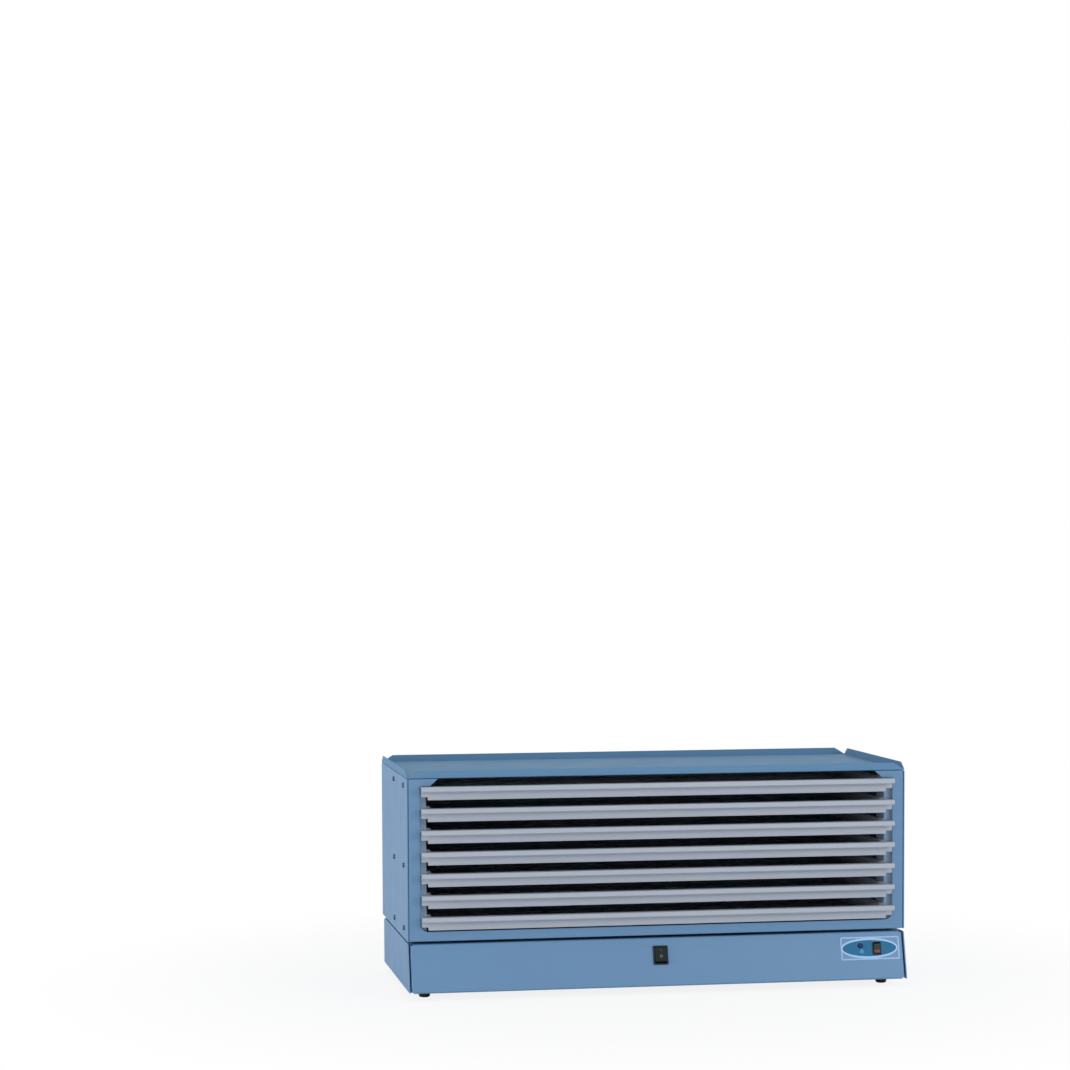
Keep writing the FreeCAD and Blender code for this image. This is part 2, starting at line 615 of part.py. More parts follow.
def backup_battery():
    """Small rechargeable block in a clip on the floor."""
    floor = BASE_BOTTOM + SHEET
    x0, x1 = CELL_X
    y0, y1 = CELL_Y
    cell = slab(x0, x1, y0, y1, 2.0, "z", floor + CLIP_THICK, floor + 18)
    clip = [block(x0 + 10, x1 - 10, y0 - 2, y1 + 2, floor, floor + CLIP_THICK),
            block(x0 + 10, x1 - 10, y0 - CLIP_THICK, y0, floor, floor + 14),
            block(x0 + 10, x1 - 10, y1, y1 + CLIP_THICK, floor, floor + 14)]
    studs = [rod(3.0, (x1, y, floor + 9.5), (1, 0, 0), 2.5) for y in (y0 + 7, y1 - 7)]
    return fuse([cell] + clip + studs)


def alarm_buzzer():
    """Round sounder standing on the floor behind the control panel."""
    floor = BASE_BOTTOM + SHEET
    x, y = BUZZER_AT
    body = rod(BUZZER_R, (x, y, floor), (0, 0, 1), BUZZER_HEIGHT)
    body = body.makeFillet(1.5, [e for e in body.Edges if e.BoundBox.ZMin > floor + BUZZER_HEIGHT - 1])
    tabs = slab(x - 22, x + 22, y - 5, y + 5, 4.9, "z", floor, floor + 2.5)
    return fuse([body, tabs]).cut(rod(2.0, (x, y, floor + 5), (0, 0, 1), 20))


def motion_sensor():
    """Magnetic sensor on an upright bracket, just under the deck."""
    floor = BASE_BOTTOM + SHEET
    level = BASE_TOP - 2 * SHEET - 12
    path = [(SENSOR_Y + 28, floor), (SENSOR_Y + 10, floor), (SENSOR_Y + 10, level), (SENSOR_Y - 10, level)]
    bracket = folded(path[::-1], SHEET, "x", SENSOR_X - 9, SENSOR_X + 9)
    head = slab(SENSOR_X - 7, SENSOR_X + 7, SENSOR_Y - 9, SENSOR_Y + 5, 2.0, "z", level + SHEET, level + 9)
    return fuse([bracket, head])


def sensor_magnet():
    """Magnet under the carriage floor, over the sensor."""
    return rod(6.0, (SENSOR_X, SENSOR_Y - 2, HOUSING_BOTTOM - 3.0), (0, 0, 1), 3.0)


def mains_inlet():
    """Panel inlet with two fixing ears, a recessed well and three blades."""
    back = BASE_BACK
    w, h = INLET_CUT
    flange = slab(INLET_X - 25, INLET_X + 25, INLET_Z - 11.2, INLET_Z + 11.2, 5.0, "y", back, back + 3)
    body = slab(INLET_X - w / 2 + 0.1, INLET_X + w / 2 - 0.1, INLET_Z - h / 2 + 0.1,
                INLET_Z + h / 2 - 0.1, 3.0, "y", back - 22, back)
    well = slab(INLET_X - 12.1, INLET_X + 12.1, INLET_Z - 8.2, INLET_Z + 8.2, 3.0, "y", back - 14, back + 4)
    inlet = fuse([flange, body]).cut(well)
    for x in (INLET_X - 20, INLET_X + 20):
        inlet = inlet.cut(rod(1.7, (x, back - 1, INLET_Z), (0, 1, 0), 6))
    blades = [block(INLET_X + dx - 1, INLET_X + dx + 1, back - 15, back - 1, INLET_Z + dz - 2,
                    INLET_Z + dz + 2) for dx, dz in ((-7, 2), (7, 2), (0, -2.5))]
    tabs = [block(INLET_X + dx - 3, INLET_X + dx + 3, back - 30, back - 21, INLET_Z - 0.4, INLET_Z + 0.4)
            for dx in (-8, 0, 8)]
    return fuse([inlet] + blades + tabs)


# ---------------------------------------------------------------- switches and label
ROCKER_SWING = 9.0       # each way from level
TRUNNION_R = 1.2
TRUNNION_DEPTH = 4.0     # pivot behind the panel's face
TRUNNION_REACH = 1.0     # how far a pivot pin stands out of the rocker's side
POWER_BEZEL = (24.0, 30.0, 3.0, 3.4)    # width, height, rim beside the rocker, rim at its ends
ALARM_BEZEL = (14.4, 21.0, 2.4, 2.6)
BEZEL_RISE = 2.0
ALARM_RISE = 1.6
MOUTH_SIDE = 0.35        # clear space beside a rocker
MOUTH_END = 1.5          # and beyond its ends, for the swing
CASE_SIDE = 1.7          # case outside the rocker's sides
CASE_END = 2.1
CASE_DEPTH = 22.0
CASE_PLAY = 0.05         # case in its cut-out
BARREL_R = 6.0           # outside of the button's barrel
BARREL_DEPTH = 16.0
STEM_R = 2.0
PIVOT_PLAY = 0.06


def rocker_sizes(bezel):
    """Half sizes of the rocker inside a bezel."""
    width, height, side, end = bezel
    return width / 2 - side, height / 2 - end


def case_sizes(bezel):
    """Half sizes of the case behind a bezel."""
    half_w, half_h = rocker_sizes(bezel)
    return half_w + CASE_SIDE, half_h + CASE_END


def switch_housing(bezel, rise, lift_off):
    """Bezel with a rounded rim, and the case behind the panel that holds the rocker's pivot."""
    width, height = bezel[:2]
    half_w, half_h = rocker_sizes(bezel)
    rim = slab(-width / 2, width / 2, -height / 2, height / 2, 1.6, "z", lift_off, lift_off + rise)
    crest = [e for e in rim.Edges if e.BoundBox.ZMin > lift_off + rise - 1e-6]
    rim = rim.makeChamfer(0.7, crest)
    case_w, case_h = case_sizes(bezel)
    case = block(-case_w, case_w, -case_h, case_h, -CASE_DEPTH, lift_off)
    mouth_w, mouth_h = half_w + MOUTH_SIDE, half_h + MOUTH_END
    shell = fuse([rim, case]).cut(block(-mouth_w, mouth_w, -mouth_h, mouth_h, -12, 10))
    pocket = half_w + TRUNNION_REACH + 0.2
    shell = shell.cut(rod(TRUNNION_R + PIVOT_PLAY, (-pocket, 0, -TRUNNION_DEPTH), (1, 0, 0), 2 * pocket))
    blades = [block(-2.4, 2.4, y - 0.4, y + 0.4, -CASE_DEPTH - 8, 0.5 - CASE_DEPTH)
              for y in (-case_h * 0.6, 0, case_h * 0.6)]
    return fuse([shell] + blades)


def rocker(bezel, lift_off, pressed):
    """Shallow V-shaped rocker on two trunnions, with its upper (1) or lower (-1) half pressed in."""
    half_w, half_h = rocker_sizes(bezel)
    rise = 2.9 + lift_off
    points = [(-half_h, -2.5), (-half_h, rise + 0.9), (0, rise), (half_h, rise + 0.9), (half_h, -2.5),
              (3.0, -6.5), (-3.0, -6.5)]
    paddle = prism(points, "x", -half_w, half_w, [0.8, 0.8, 24.0, 0.8, 0.8, 1.0, 1.0])
    reach = half_w + TRUNNION_REACH
    pins = rod(TRUNNION_R, (-reach, 0, -TRUNNION_DEPTH), (1, 0, 0), 2 * reach)
    paddle = paddle.fuse(pins).removeSplitter()
    paddle.rotate(FreeCAD.Vector(0, 0, -TRUNNION_DEPTH), FreeCAD.Vector(1, 0, 0), -ROCKER_SWING * pressed)
    return paddle


def control_overlay():
    """Label plate on the front panel, cut out for the alarm switch and the button."""
    w, h = OVERLAY_SIZE
    plate = slab(-w / 2, w / 2, -h / 2, h / 2, 2.5, "z", 0, OVERLAY_THICK)
    dx, dy = ALARM_X - OVERLAY_X, ALARM_UP - OVERLAY_UP
    hole_w, hole_h = case_sizes(ALARM_BEZEL)
    hole_w += CASE_PLAY
    hole_h += CASE_PLAY
    plate = plate.cut(block(dx - hole_w, dx + hole_w, dy - hole_h, dy + hole_h, -1, 2))
    window = BARREL_R - 1.4
    plate = plate.cut(rod(window, (BUTTON_X - OVERLAY_X, BUTTON_UP - OVERLAY_UP, -1), (0, 0, 1), 3))
    return on_panel(plate, OVERLAY_X, OVERLAY_UP)


def button_housing():
    """Threaded barrel behind the panel that guides the button's stem."""
    barrel = rod(BARREL_R, (0, 0, -BARREL_DEPTH), (0, 0, 1), BARREL_DEPTH)
    barrel = barrel.cut(rod(BUTTON_R + 0.4, (0, 0, -4.5), (0, 0, 1), 6))
    barrel = barrel.cut(rod(STEM_R + PIVOT_PLAY, (0, 0, 2 - BARREL_DEPTH), (0, 0, 1), 12))
    nut = prism(hexagon(0, 0, 8.5), "z", -SHEET - 3.0, -SHEET)
    nut = nut.cut(rod(BARREL_R, (0, 0, -10), (0, 0, 1), 12))
    return on_panel(fuse([barrel, nut]), BUTTON_X, BUTTON_UP)


def mute_button():
    """Domed cap on a guided stem."""
    cap = rod(BUTTON_R, (0, 0, -2.4), (0, 0, 1), 4.6)
    cap = cap.makeFillet(1.2, [e for e in cap.Edges if e.BoundBox.ZMin > 2.0])
    stem = rod(STEM_R, (0, 0, -11.5), (0, 0, 1), 9.5)
    return on_panel(cap.fuse(stem).removeSplitter(), BUTTON_X, BUTTON_UP)


# ---------------------------------------------------------------- carriage
def side_panel_right():
    """Side sheet with flanges turned in at its top and back, and six screw holes."""
    inner = SIDE - SHEET
    wall = block(inner, SIDE, CARRIAGE_FRONT, CARRIAGE_BACK, HOUSING_BOTTOM, HOUSING_TOP)
    top = block(SIDE - PANEL_FLANGE, inner, CARRIAGE_FRONT + FRAME_RETURN + 2, CARRIAGE_BACK - SHEET,
                HOUSING_TOP - SHEET, HOUSING_TOP)
    back = block(SIDE - PANEL_FLANGE, inner, CARRIAGE_BACK - SHEET, CARRIAGE_BACK,
                 HOUSING_BOTTOM + 2, HOUSING_TOP)
    panel = fuse([wall, top, back])
    turned = []
    for edge in panel.Edges:
        box = edge.BoundBox
        corner = abs(box.XMin - SIDE) < 1e-4 and box.XLength < 1e-4
        at_top = abs(box.ZMin - HOUSING_TOP) < 1e-4 and box.YLength > 200
        at_back = abs(box.YMin - CARRIAGE_BACK) < 1e-4 and box.YLength < 1e-4 and box.ZLength > 200
        if corner and (at_top or at_back):
            turned.append(edge)
    panel = panel.makeFillet(OUTER_BEND, turned)
    for y, z in screw_places():
        panel = panel.cut(rod(SCREW_R + HOLE_PLAY, (inner - 1, y, z), (1, 0, 0), SHEET + 2))
    return panel


def screw_places():
    return [(y, HOUSING_BOTTOM + z) for y in SCREW_Y for z in SCREW_HEIGHTS]


def carriage_front_frame():
    """One sheet: two stiles, the sill, a stub of top rail each side, and folded ends."""
    half = SIDE - SHEET - FRAME_GAP
    stile = SIDE - STILE
    stub_low = HOUSING_TOP - STUB_DEEP
    sill = HOUSING_BOTTOM + SILL
    points = [(-half, HOUSING_BOTTOM), (half, HOUSING_BOTTOM), (half, HOUSING_TOP),
              (stile - STUB_LONG, HOUSING_TOP), (stile - STUB_SHORT, stub_low), (stile, stub_low),
              (stile, sill), (-stile, sill), (-stile, stub_low), (-stile + STUB_SHORT, stub_low),
              (-stile + STUB_LONG, HOUSING_TOP), (-half, HOUSING_TOP)]
    radii = [0, 0, 0, 0, 1.5, 2, SILL_CORNER, SILL_CORNER, 2, 1.5, 0, 0]
    front = CARRIAGE_FRONT
    frame = prism(points, "y", front, front + SHEET, radii)
    folds = []
    for side in (-1, 1):
        x0, x1 = sorted((side * half, side * (half - SHEET)))
        folds.append(block(x0, x1, front, front + FRAME_RETURN, HOUSING_BOTTOM, HOUSING_TOP))
        x0, x1 = sorted((side * half, side * (stile - STUB_LONG + 2)))
        folds.append(block(x0, x1, front, front + FRAME_RETURN, HOUSING_TOP - SHEET, HOUSING_TOP))
    folds.append(block(-half, half, front, front + FRAME_RETURN, HOUSING_BOTTOM, HOUSING_BOTTOM + SHEET))
    frame = frame.fuse(folds).removeSplitter()
    bends = []
    for edge in frame.Edges:
        box = edge.BoundBox
        at_front = abs(box.YMax - front) < 1e-4
        upright = at_front and abs(abs(box.XMin) - half) < 1e-4 and box.ZLength > 200
        low = at_front and abs(box.ZMax - HOUSING_BOTTOM) < 1e-4 and box.XLength > 200
        stub = at_front and abs(box.ZMin - HOUSING_TOP) < 1e-4 and box.XLength > 20
        if upright or low or stub:
            bends.append(edge)
    return frame.makeFillet(OUTER_BEND, bends)


def carriage_rear_panel():
    """Closed back sheet inside the side panels' flanges."""
    half = SIDE - SHEET - 0.3
    y1 = CARRIAGE_BACK - SHEET
    return slab(-half, half, HOUSING_BOTTOM + SHEET, HOUSING_TOP - SHEET - 0.4, 2.0, "y", y1 - SHEET, y1)


def carriage_floor():
    """Bottom sheet with upturned ends."""
    half = SIDE - SHEET - 0.1
    path = [(half, HOUSING_BOTTOM + 13), (half, HOUSING_BOTTOM), (-half, HOUSING_BOTTOM),
            (-half, HOUSING_BOTTOM + 13)]
    y0 = CARRIAGE_FRONT + FRAME_RETURN + 0.5
    floor = folded(path[::-1], SHEET, "y", y0, CARRIAGE_BACK - 2 * SHEET)
    notches = []
    for column in COLUMN_SPANS:
        for side in (-1, 1):
            x0, x1 = sorted((side * (half + 1), side * (half - SHEET - BEND - 0.1)))
            notches.append(block(x0, x1, column[0] - 0.3, column[1] + 0.3, HOUSING_BOTTOM + SHEET,
                                 HOUSING_BOTTOM + 20))
    return floor.cut(group(notches)).removeSplitter()


def top_tray():
    """Flat tray; each rim stands up and is cut back at a slant at both ends."""
    z0 = HOUSING_TOP + TRAY_SEAM
    edge = 1.6
    long_rim = [(-SIDE + edge, z0), (SIDE - edge, z0), (SIDE - edge, z0 + SHEET),
                (SIDE - TRAY_CUT, TOP), (-SIDE + TRAY_CUT, TOP), (-SIDE + edge, z0 + SHEET)]
    y0, y1 = CARRIAGE_FRONT, CARRIAGE_BACK
    short_rim = [(y0 + edge, z0), (y1 - edge, z0), (y1 - edge, z0 + SHEET), (y1 - TRAY_CUT, TOP),
                 (y0 + TRAY_CUT, TOP), (y0 + edge, z0 + SHEET)]
    radii = [0, 0, 0, 1.5, 1.5, 0]
    walls = [prism(long_rim, "y", y0, y0 + SHEET, radii),
             prism(long_rim, "y", y1 - SHEET, y1, radii),
             prism(short_rim, "x", -SIDE, -SIDE + SHEET, radii),
             prism(short_rim, "x", SIDE - SHEET, SIDE, radii)]
    floors = [block(-SIDE + edge, SIDE - edge, y0, y1, z0, z0 + SHEET),
              block(-SIDE, SIDE, y0 + edge, y1 - edge, z0, z0 + SHEET)]
    tray = fuse(floors + walls)
    bends = []
    for rim in tray.Edges:
        box = rim.BoundBox
        low = box.ZMax < z0 + 1e-4
        front_back = box.XLength > 300 and min(abs(box.YMin - y0), abs(box.YMin - y1)) < 1e-4
        left_right = box.YLength > 200 and abs(abs(box.XMin) - SIDE) < 1e-4
        if low and (front_back or left_right):
            bends.append(rim)
    return tray.makeFillet(OUTER_BEND, bends)


def guide_columns(side):
    """Three box-section uprights bolted to one side panel."""
    columns = []
    outer = SIDE - SHEET - 0.1
    z0, z1 = HOUSING_BOTTOM + SHEET, HOUSING_TOP - SHEET - 0.3
    for y0, y1 in COLUMN_SPANS:
        tube = slab(COLUMN_INNER, outer, y0, y1, 2.5, "z", z0, z1)
        bore = slab(COLUMN_INNER + COLUMN_WALL, outer - COLUMN_WALL, y0 + COLUMN_WALL, y1 - COLUMN_WALL,
                    1.0, "z", z0 - 1, z1 + 1)
        tube = tube.cut(bore)
        for y, z in screw_places():
            if y0 < y < y1:
                tube = tube.cut(rod(SCREW_R + HOLE_PLAY, (outer - 3, y, z), (1, 0, 0), 4))
        columns.append(tube if side > 0 else mirror_x(tube))
    return group(columns)


def drawer_runners(side):
    """One C-shaped runner a drawer, open towards the drawer, with slanted front corners."""
    runners = []
    root, tip = COLUMN_INNER, COLUMN_INNER - RUNNER_REACH
    for lip_top in LIP_TOPS:
        top = lip_top - PAN_FLANGE_DROP + SLIDE_HEADROOM + RUNNER_WALL
        low = lip_top - PAN_FLANGE_DROP - THIN - SLIDE_PLAY
        points = [(root, top), (tip, top), (tip, top - RUNNER_WALL), (root - RUNNER_WALL, top - RUNNER_WALL),
                  (root - RUNNER_WALL, low), (tip, low), (tip, low - RUNNER_WALL),
                  (root - RUNNER_WALL, low - RUNNER_WALL), (root - RUNNER_WALL, top - RUNNER_DROP),
                  (root, top - RUNNER_DROP)]
        runner = prism(points, "y", RUNNER_FRONT, RUNNER_BACK)
        corner = [(tip - 1, RUNNER_FRONT - 1), (root - RUNNER_WALL, RUNNER_FRONT - 1),
                  (tip - 1, RUNNER_FRONT + 7)]
        runner = runner.cut(prism(corner, "z", top - RUNNER_DROP - 1, top + 1))
        runners.append(runner if side > 0 else mirror_x(runner))
    return group(runners)


def side_panel_screws():
    screws = []
    for side in (-1, 1):
        for y, z in screw_places():
            screws.append(pan_head_screw(side * SIDE, y, z, (side, 0, 0), SCREW_REACH))
    return group(screws)


def bearing_blocks():
    """Four pillow blocks, each with a riser that reaches up to the carriage floor."""
    sx, sy, sz = BLOCK_SIZE
    blocks = []
    for x in (-BEARING_X, BEARING_X):
        for y in rail_ys():
            body = slab(y - sy / 2, y + sy / 2, SHAFT_Z - sz / 2, SHAFT_Z + sz / 2, 3.0, "x",
                        x - sx / 2, x + sx / 2)
            riser = block(x - sx / 2, x + sx / 2, y - RISER_WIDTH / 2, y + RISER_WIDTH / 2,
                          SHAFT_Z + sz / 2 - 2, HOUSING_BOTTOM)
            bore = rod(BEARING_R, (x - sx, y, SHAFT_Z), (1, 0, 0), 2 * sx)
            blocks.append(fuse([body, riser]).cut(bore))
    return group(blocks)


def linear_bearings():
    bushes = []
    for x in (-BEARING_X, BEARING_X):
        for y in rail_ys():
            outer = rod(BEARING_R, (x - BEARING_LENGTH / 2, y, SHAFT_Z), (1, 0, 0), BEARING_LENGTH)
            bore = rod(SHAFT_R + BEARING_PLAY, (x - BEARING_LENGTH, y, SHAFT_Z), (1, 0, 0),
                       2 * BEARING_LENGTH)
            bushes.append(outer.cut(bore))
    return group(bushes)


def drive_bracket():
    """Folded channel under the carriage floor that carries the drive pin."""
    x, y = drive_x(), CARRIAGE_MID
    pad_low = HOUSING_BOTTOM - BRACKET_GAUGE
    path = [(x - 14, pad_low), (x - 9, DRIVE_LOW), (x + 9, DRIVE_LOW), (x + 14, pad_low)]
    web = folded(path, BRACKET_GAUGE, "y", y - 11, y + 11)
    pad = slab(x - 14, x + 14, y - 12, y + 12, 2.0, "z", pad_low, HOUSING_BOTTOM)
    bracket = fuse([web, pad])
    return bracket.cut(rod(PIN_R, (x, y, DRIVE_LOW - 1), (0, 0, 1), 6))


def drive_pin():
    """Pin down from the bracket; its lower end stops above the rod's far eye."""
    x, y = drive_x(), CARRIAGE_MID
    low = ROD_TOP + OPEN_PIVOT_GAP
    head_low = DRIVE_LOW + BRACKET_GAUGE
    shank = rod(PIN_R, (x, y, low), (0, 0, 1), head_low - low)
    return shank.fuse(prism(hexagon(x, y, 6.5), "z", head_low, head_low + 3.5)).removeSplitter()


# ---------------------------------------------------------------- drawers
def drawer_front(lip_top):
    """Folded front: face plate with an ear at each end, and a rolled-forward pull lip."""
    plate = 2.0
    back = FACE_Y + plate
    lip_y = FACE_Y - LIP_DEPTH
    path = [(lip_y + LIP_HEM, lip_top - LIP_HEIGHT), (lip_y, lip_top - LIP_HEIGHT), (lip_y, lip_top),
            (back, lip_top)]
    lip = folded(path[::-1], THIN, "x", -LIP_HALF, LIP_HALF, 0.8)
    low, mid = lip_top - FACE_HEIGHT, lip_top - EAR_HEIGHT
    points = [(-FACE_HALF, low), (FACE_HALF, low), (FACE_HALF, mid), (EAR_HALF, mid), (EAR_HALF, lip_top),
              (-EAR_HALF, lip_top), (-EAR_HALF, mid), (-FACE_HALF, mid)]
    face = prism(points, "y", FACE_Y, back, [1.0, 1.0, 0, 1.0, 0, 0, 1.0, 0])
    return fuse([face, lip])


def drawer_pan(lip_top):
    """Shallow tray hung on two side flanges; its floor is slotted for air."""
    top = lip_top - PAN_FLANGE_DROP
    floor = top - PAN_HEIGHT
    front = FACE_Y + 2.0
    path = [(-PAN_FLANGE_EDGE, top), (-PAN_WALL_X, top), (-PAN_WALL_X + 1, floor), (PAN_WALL_X - 1, floor),
            (PAN_WALL_X, top), (PAN_FLANGE_EDGE, top)]
    pan = folded([(u, v - THIN) if v == top else (u, v) for u, v in path], THIN, "y", front, PAN_BACK, 1.5)
    inner = PAN_WALL_X - 0.6
    walls = [block(-inner, inner, front, front + THIN, floor, top - 1.2),
             block(-inner, inner, PAN_BACK - THIN, PAN_BACK, floor, top - 1.2)]
    pan = fuse([pan] + walls)
    slots = []
    span_x = 2 * PAN_WALL_X - 40
    span_y = PAN_BACK - front - 2 * VENT_MARGIN
    for column in range(VENT_COLUMNS):
        for row in range(VENT_ROWS):
            x = -span_x / 2 + span_x * (column + 0.5) / VENT_COLUMNS
            y = front + VENT_MARGIN + span_y * (row + 0.5) / VENT_ROWS
            slots.append(slab(x - VENT_LENGTH / 2, x + VENT_LENGTH / 2, y - VENT_WIDTH / 2,
                              y + VENT_WIDTH / 2, VENT_WIDTH / 2 - 0.05, "z", floor - 1, floor + THIN + 1))
    return pan.cut(group(slots))


# ---------------------------------------------------------------- every node
def build():
    right = side_panel_right()
    nodes = {
        "base_pan": base_pan(),
        "base_front_panel": base_front_panel(),
        "base_rear_panel": base_rear_panel(),
        "base_top_plate": base_top_plate(),
        "rubber_feet": rubber_feet(),
        "foot_screws": foot_screws(),
        "base_screws": base_screws(),
        "guide_shafts": guide_shafts(),
        "shaft_supports": shaft_supports(),
        "gear_motor": gear_motor(),
        "motor_bracket": motor_bracket(),
        "crank_disc": crank_disc(),
        "crank_pin": crank_pin(),
        "connecting_rod": connecting_rod(),
        "rod_bearings": rod_bearings(),
        "power_supply": power_supply(),
        "control_board": control_board(),
        "backup_battery": backup_battery(),
        "alarm_buzzer": alarm_buzzer(),
        "motion_sensor": motion_sensor(),
        "mains_inlet": mains_inlet(),
        "power_switch_housing": on_panel(switch_housing(POWER_BEZEL, BEZEL_RISE, 0.0), SWITCH_X, SWITCH_UP),
        "power_switch_rocker": on_panel(rocker(POWER_BEZEL, 0.0, 1), SWITCH_X, SWITCH_UP),
        "alarm_switch_housing": on_panel(
            switch_housing(ALARM_BEZEL, ALARM_RISE, OVERLAY_THICK), ALARM_X, ALARM_UP),
        "alarm_switch_rocker": on_panel(rocker(ALARM_BEZEL, OVERLAY_THICK, -1), ALARM_X, ALARM_UP),
        "mute_button_housing": button_housing(),
        "mute_button": mute_button(),
        "control_overlay": control_overlay(),
        "carriage_side_right": right,
        "carriage_side_left": mirror_x(right),
        "carriage_front_frame": carriage_front_frame(),
        "carriage_rear_panel": carriage_rear_panel(),
        "carriage_floor": carriage_floor(),
        "top_tray": top_tray(),
        "guide_columns_left": guide_columns(-1),
        "guide_columns_right": guide_columns(1),
        "drawer_runners_left": drawer_runners(-1),
        "drawer_runners_right": drawer_runners(1),
        "side_panel_screws": side_panel_screws(),
        "bearing_blocks": bearing_blocks(),
        "linear_bearings": linear_bearings(),
        "drive_bracket": drive_bracket(),
        "drive_pin": drive_pin(),
        "sensor_magnet": sensor_magnet(),
    }
    for number, lip_top in enumerate(LIP_TOPS, start=1):
        nodes["drawer_%d_front" % number] = drawer_front(lip_top)
        nodes["drawer_%d_pan" % number] = drawer_pan(lip_top)
    return nodes


os.makedirs("parts", exist_ok=True)
for name, shape in build().items():
    shape.exportStep("parts/%s.step" % name)
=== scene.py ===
import json
import math

import bpy
from mathutils import Matrix, Vector


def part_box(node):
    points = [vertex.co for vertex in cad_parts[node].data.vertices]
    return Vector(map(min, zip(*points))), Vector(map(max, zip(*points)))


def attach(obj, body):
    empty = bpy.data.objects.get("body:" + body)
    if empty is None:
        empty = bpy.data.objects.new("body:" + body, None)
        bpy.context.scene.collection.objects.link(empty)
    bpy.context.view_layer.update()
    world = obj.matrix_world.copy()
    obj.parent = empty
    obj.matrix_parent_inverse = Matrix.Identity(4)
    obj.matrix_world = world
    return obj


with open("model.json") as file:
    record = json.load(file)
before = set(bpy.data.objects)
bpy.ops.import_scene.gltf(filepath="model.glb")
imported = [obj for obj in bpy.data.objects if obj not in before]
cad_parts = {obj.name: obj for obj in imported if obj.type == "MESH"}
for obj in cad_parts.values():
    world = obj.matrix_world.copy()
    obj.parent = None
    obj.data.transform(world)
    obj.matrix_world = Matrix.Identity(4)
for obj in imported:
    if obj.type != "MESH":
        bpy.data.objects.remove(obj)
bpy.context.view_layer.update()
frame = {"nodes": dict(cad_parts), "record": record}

# A flatbed platelet agitator: finishes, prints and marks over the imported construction.
# Metres, +X to the operator's right, -Y to the front, +Z up.
MM = 0.001

# ---------------------------------------------------------------- dimensions the looks need
PANEL_LEAN = math.atan2(74.5, 20.0)      # the base's front panel: 20 mm back in 74.5 mm of height
INK = 0.06 * MM                          # thickness of a screen-printed layer
CUTTER_DEPTH = 4 * MM                    # a tool for openings goes right through a print

OVERLAY_THICK = 0.4 * MM                 # the label's film
OVERLAY_LINE = 2.4 * MM                  # printed outline round the label
OVERLAY_CORNER = 2.5 * MM
OVAL_SIZE = (93.5 * MM, 32.8 * MM)       # pale oval, and the teal field inside it
FIELD_SIZE = (88.5 * MM, 25.9 * MM)
OVAL_SHIFT = -1.3 * MM                   # the oval stands left of the label's middle
OVAL_SIDES = 128
UNIT_RADIUS = 0.5                        # of the circle, 1 m across, that is stretched to an oval
ROUND_SIDES = 48
BUTTON_HOLE = 4.8 * MM                   # radius of the print's opening round the button
SWITCH_HOLE = (14.5 * MM, 21.1 * MM)     # and round the alarm switch

BELL_SIZE = (6.8 * MM, 6.0 * MM)
BELL_CROWN = 0.35                        # its top edge, as a share of that width
BELL_RIM = 1.25                          # and its bottom edge
BELL_CORNER = 0.1 * MM
BELL_SHIFT = (2.0 * MM, -8.8 * MM)       # from the button's middle
CLAPPER_RADIUS = 0.9 * MM
CLAPPER_DROP = 1.1 * MM                  # of its middle below the bell
CLAPPER_SIDES = 24

BAR_SIZE = (0.9 * MM, 4.2 * MM)          # on mark of the power switch
BAR_CORNER = 0.2 * MM
BAR_PLACE = (0.4 * MM, 6.6 * MM)         # from the middle of the bezel
RING_RADIUS = 2.2 * MM                   # off mark
RING_LINE = 0.8 * MM
RING_PLACE = (0.4 * MM, -3.2 * MM)
DROP_HEIGHT = 30 * MM                    # a mark falls onto its rocker from this far off

PARTS_LEVEL = 12.0 * MM                  # over its pillars' feet: higher up, the board is all components

# Pattern sizes in millimetres
PEEL_RIPPLE = 2.6
COAT_CLOUDS = 45
COAT_DRIFT = 160
PLASTIC_DRIFT = 12
RUBBER_BLOOM = 5
RUBBER_DRIFT = 4
ZINC_CRYSTALS = 7
ZINC_HAZE = 14
TOOL_PATTERN = 5                         # a wave texture repeats 3.2 times in it: lines 1.6 mm apart
STEEL_DRIFT = 30
CAST_GRAINS = 1.2
CAST_DRIFT = 9
BRONZE_PORES = 0.9
BOARD_TRACKS = 18                        # the bricks of the track pattern are half as long
INK_MESH = 0.7
INK_DRIFT = 8

# ---------------------------------------------------------------- camera, light and floor
FRAME_WIDTH = 1070                       # pixels of the finished image, both ways
CAMERA_FOCAL = 2741.6                    # focal length in those pixels
CAMERA_AIM_ROW = 700                     # row that the lens points at, which lies below the middle
CAMERA_PLACE = Vector((-0.9180, -4.3618, 0.6988))
CAMERA_YAW = math.radians(9.725)         # turned from +Y towards +X
CAMERA_PITCH = math.radians(3.143)       # downwards
CAMERA_ROLL = math.radians(-0.237)
CAMERA_REACH = 50
SENSOR = 36.0

WORLD_LIGHT = 0.66
PLAIN_WHITE = 1.0                        # strength at which an emission is white
FLOOR_SIZE = 30.0
SHADOW_REACH = (0.45, 1.1)               # metres out where the floor starts to turn white, and has turned
SHADED_WHITE = 0.86                      # share of plain white that is mixed into the floor inside that


def add(tree, kind, inputs=None, **settings):
    """Adds one node: settings are its own properties, inputs are values or the sockets that feed it."""
    node = tree.nodes.new(kind)
    for name, value in settings.items():
        setattr(node, name, value)
    for name, value in (inputs or {}).items():
        if isinstance(value, bpy.types.NodeSocket):
            tree.links.new(value, node.inputs[name])
        else:
            node.inputs[name].default_value = value
    return node


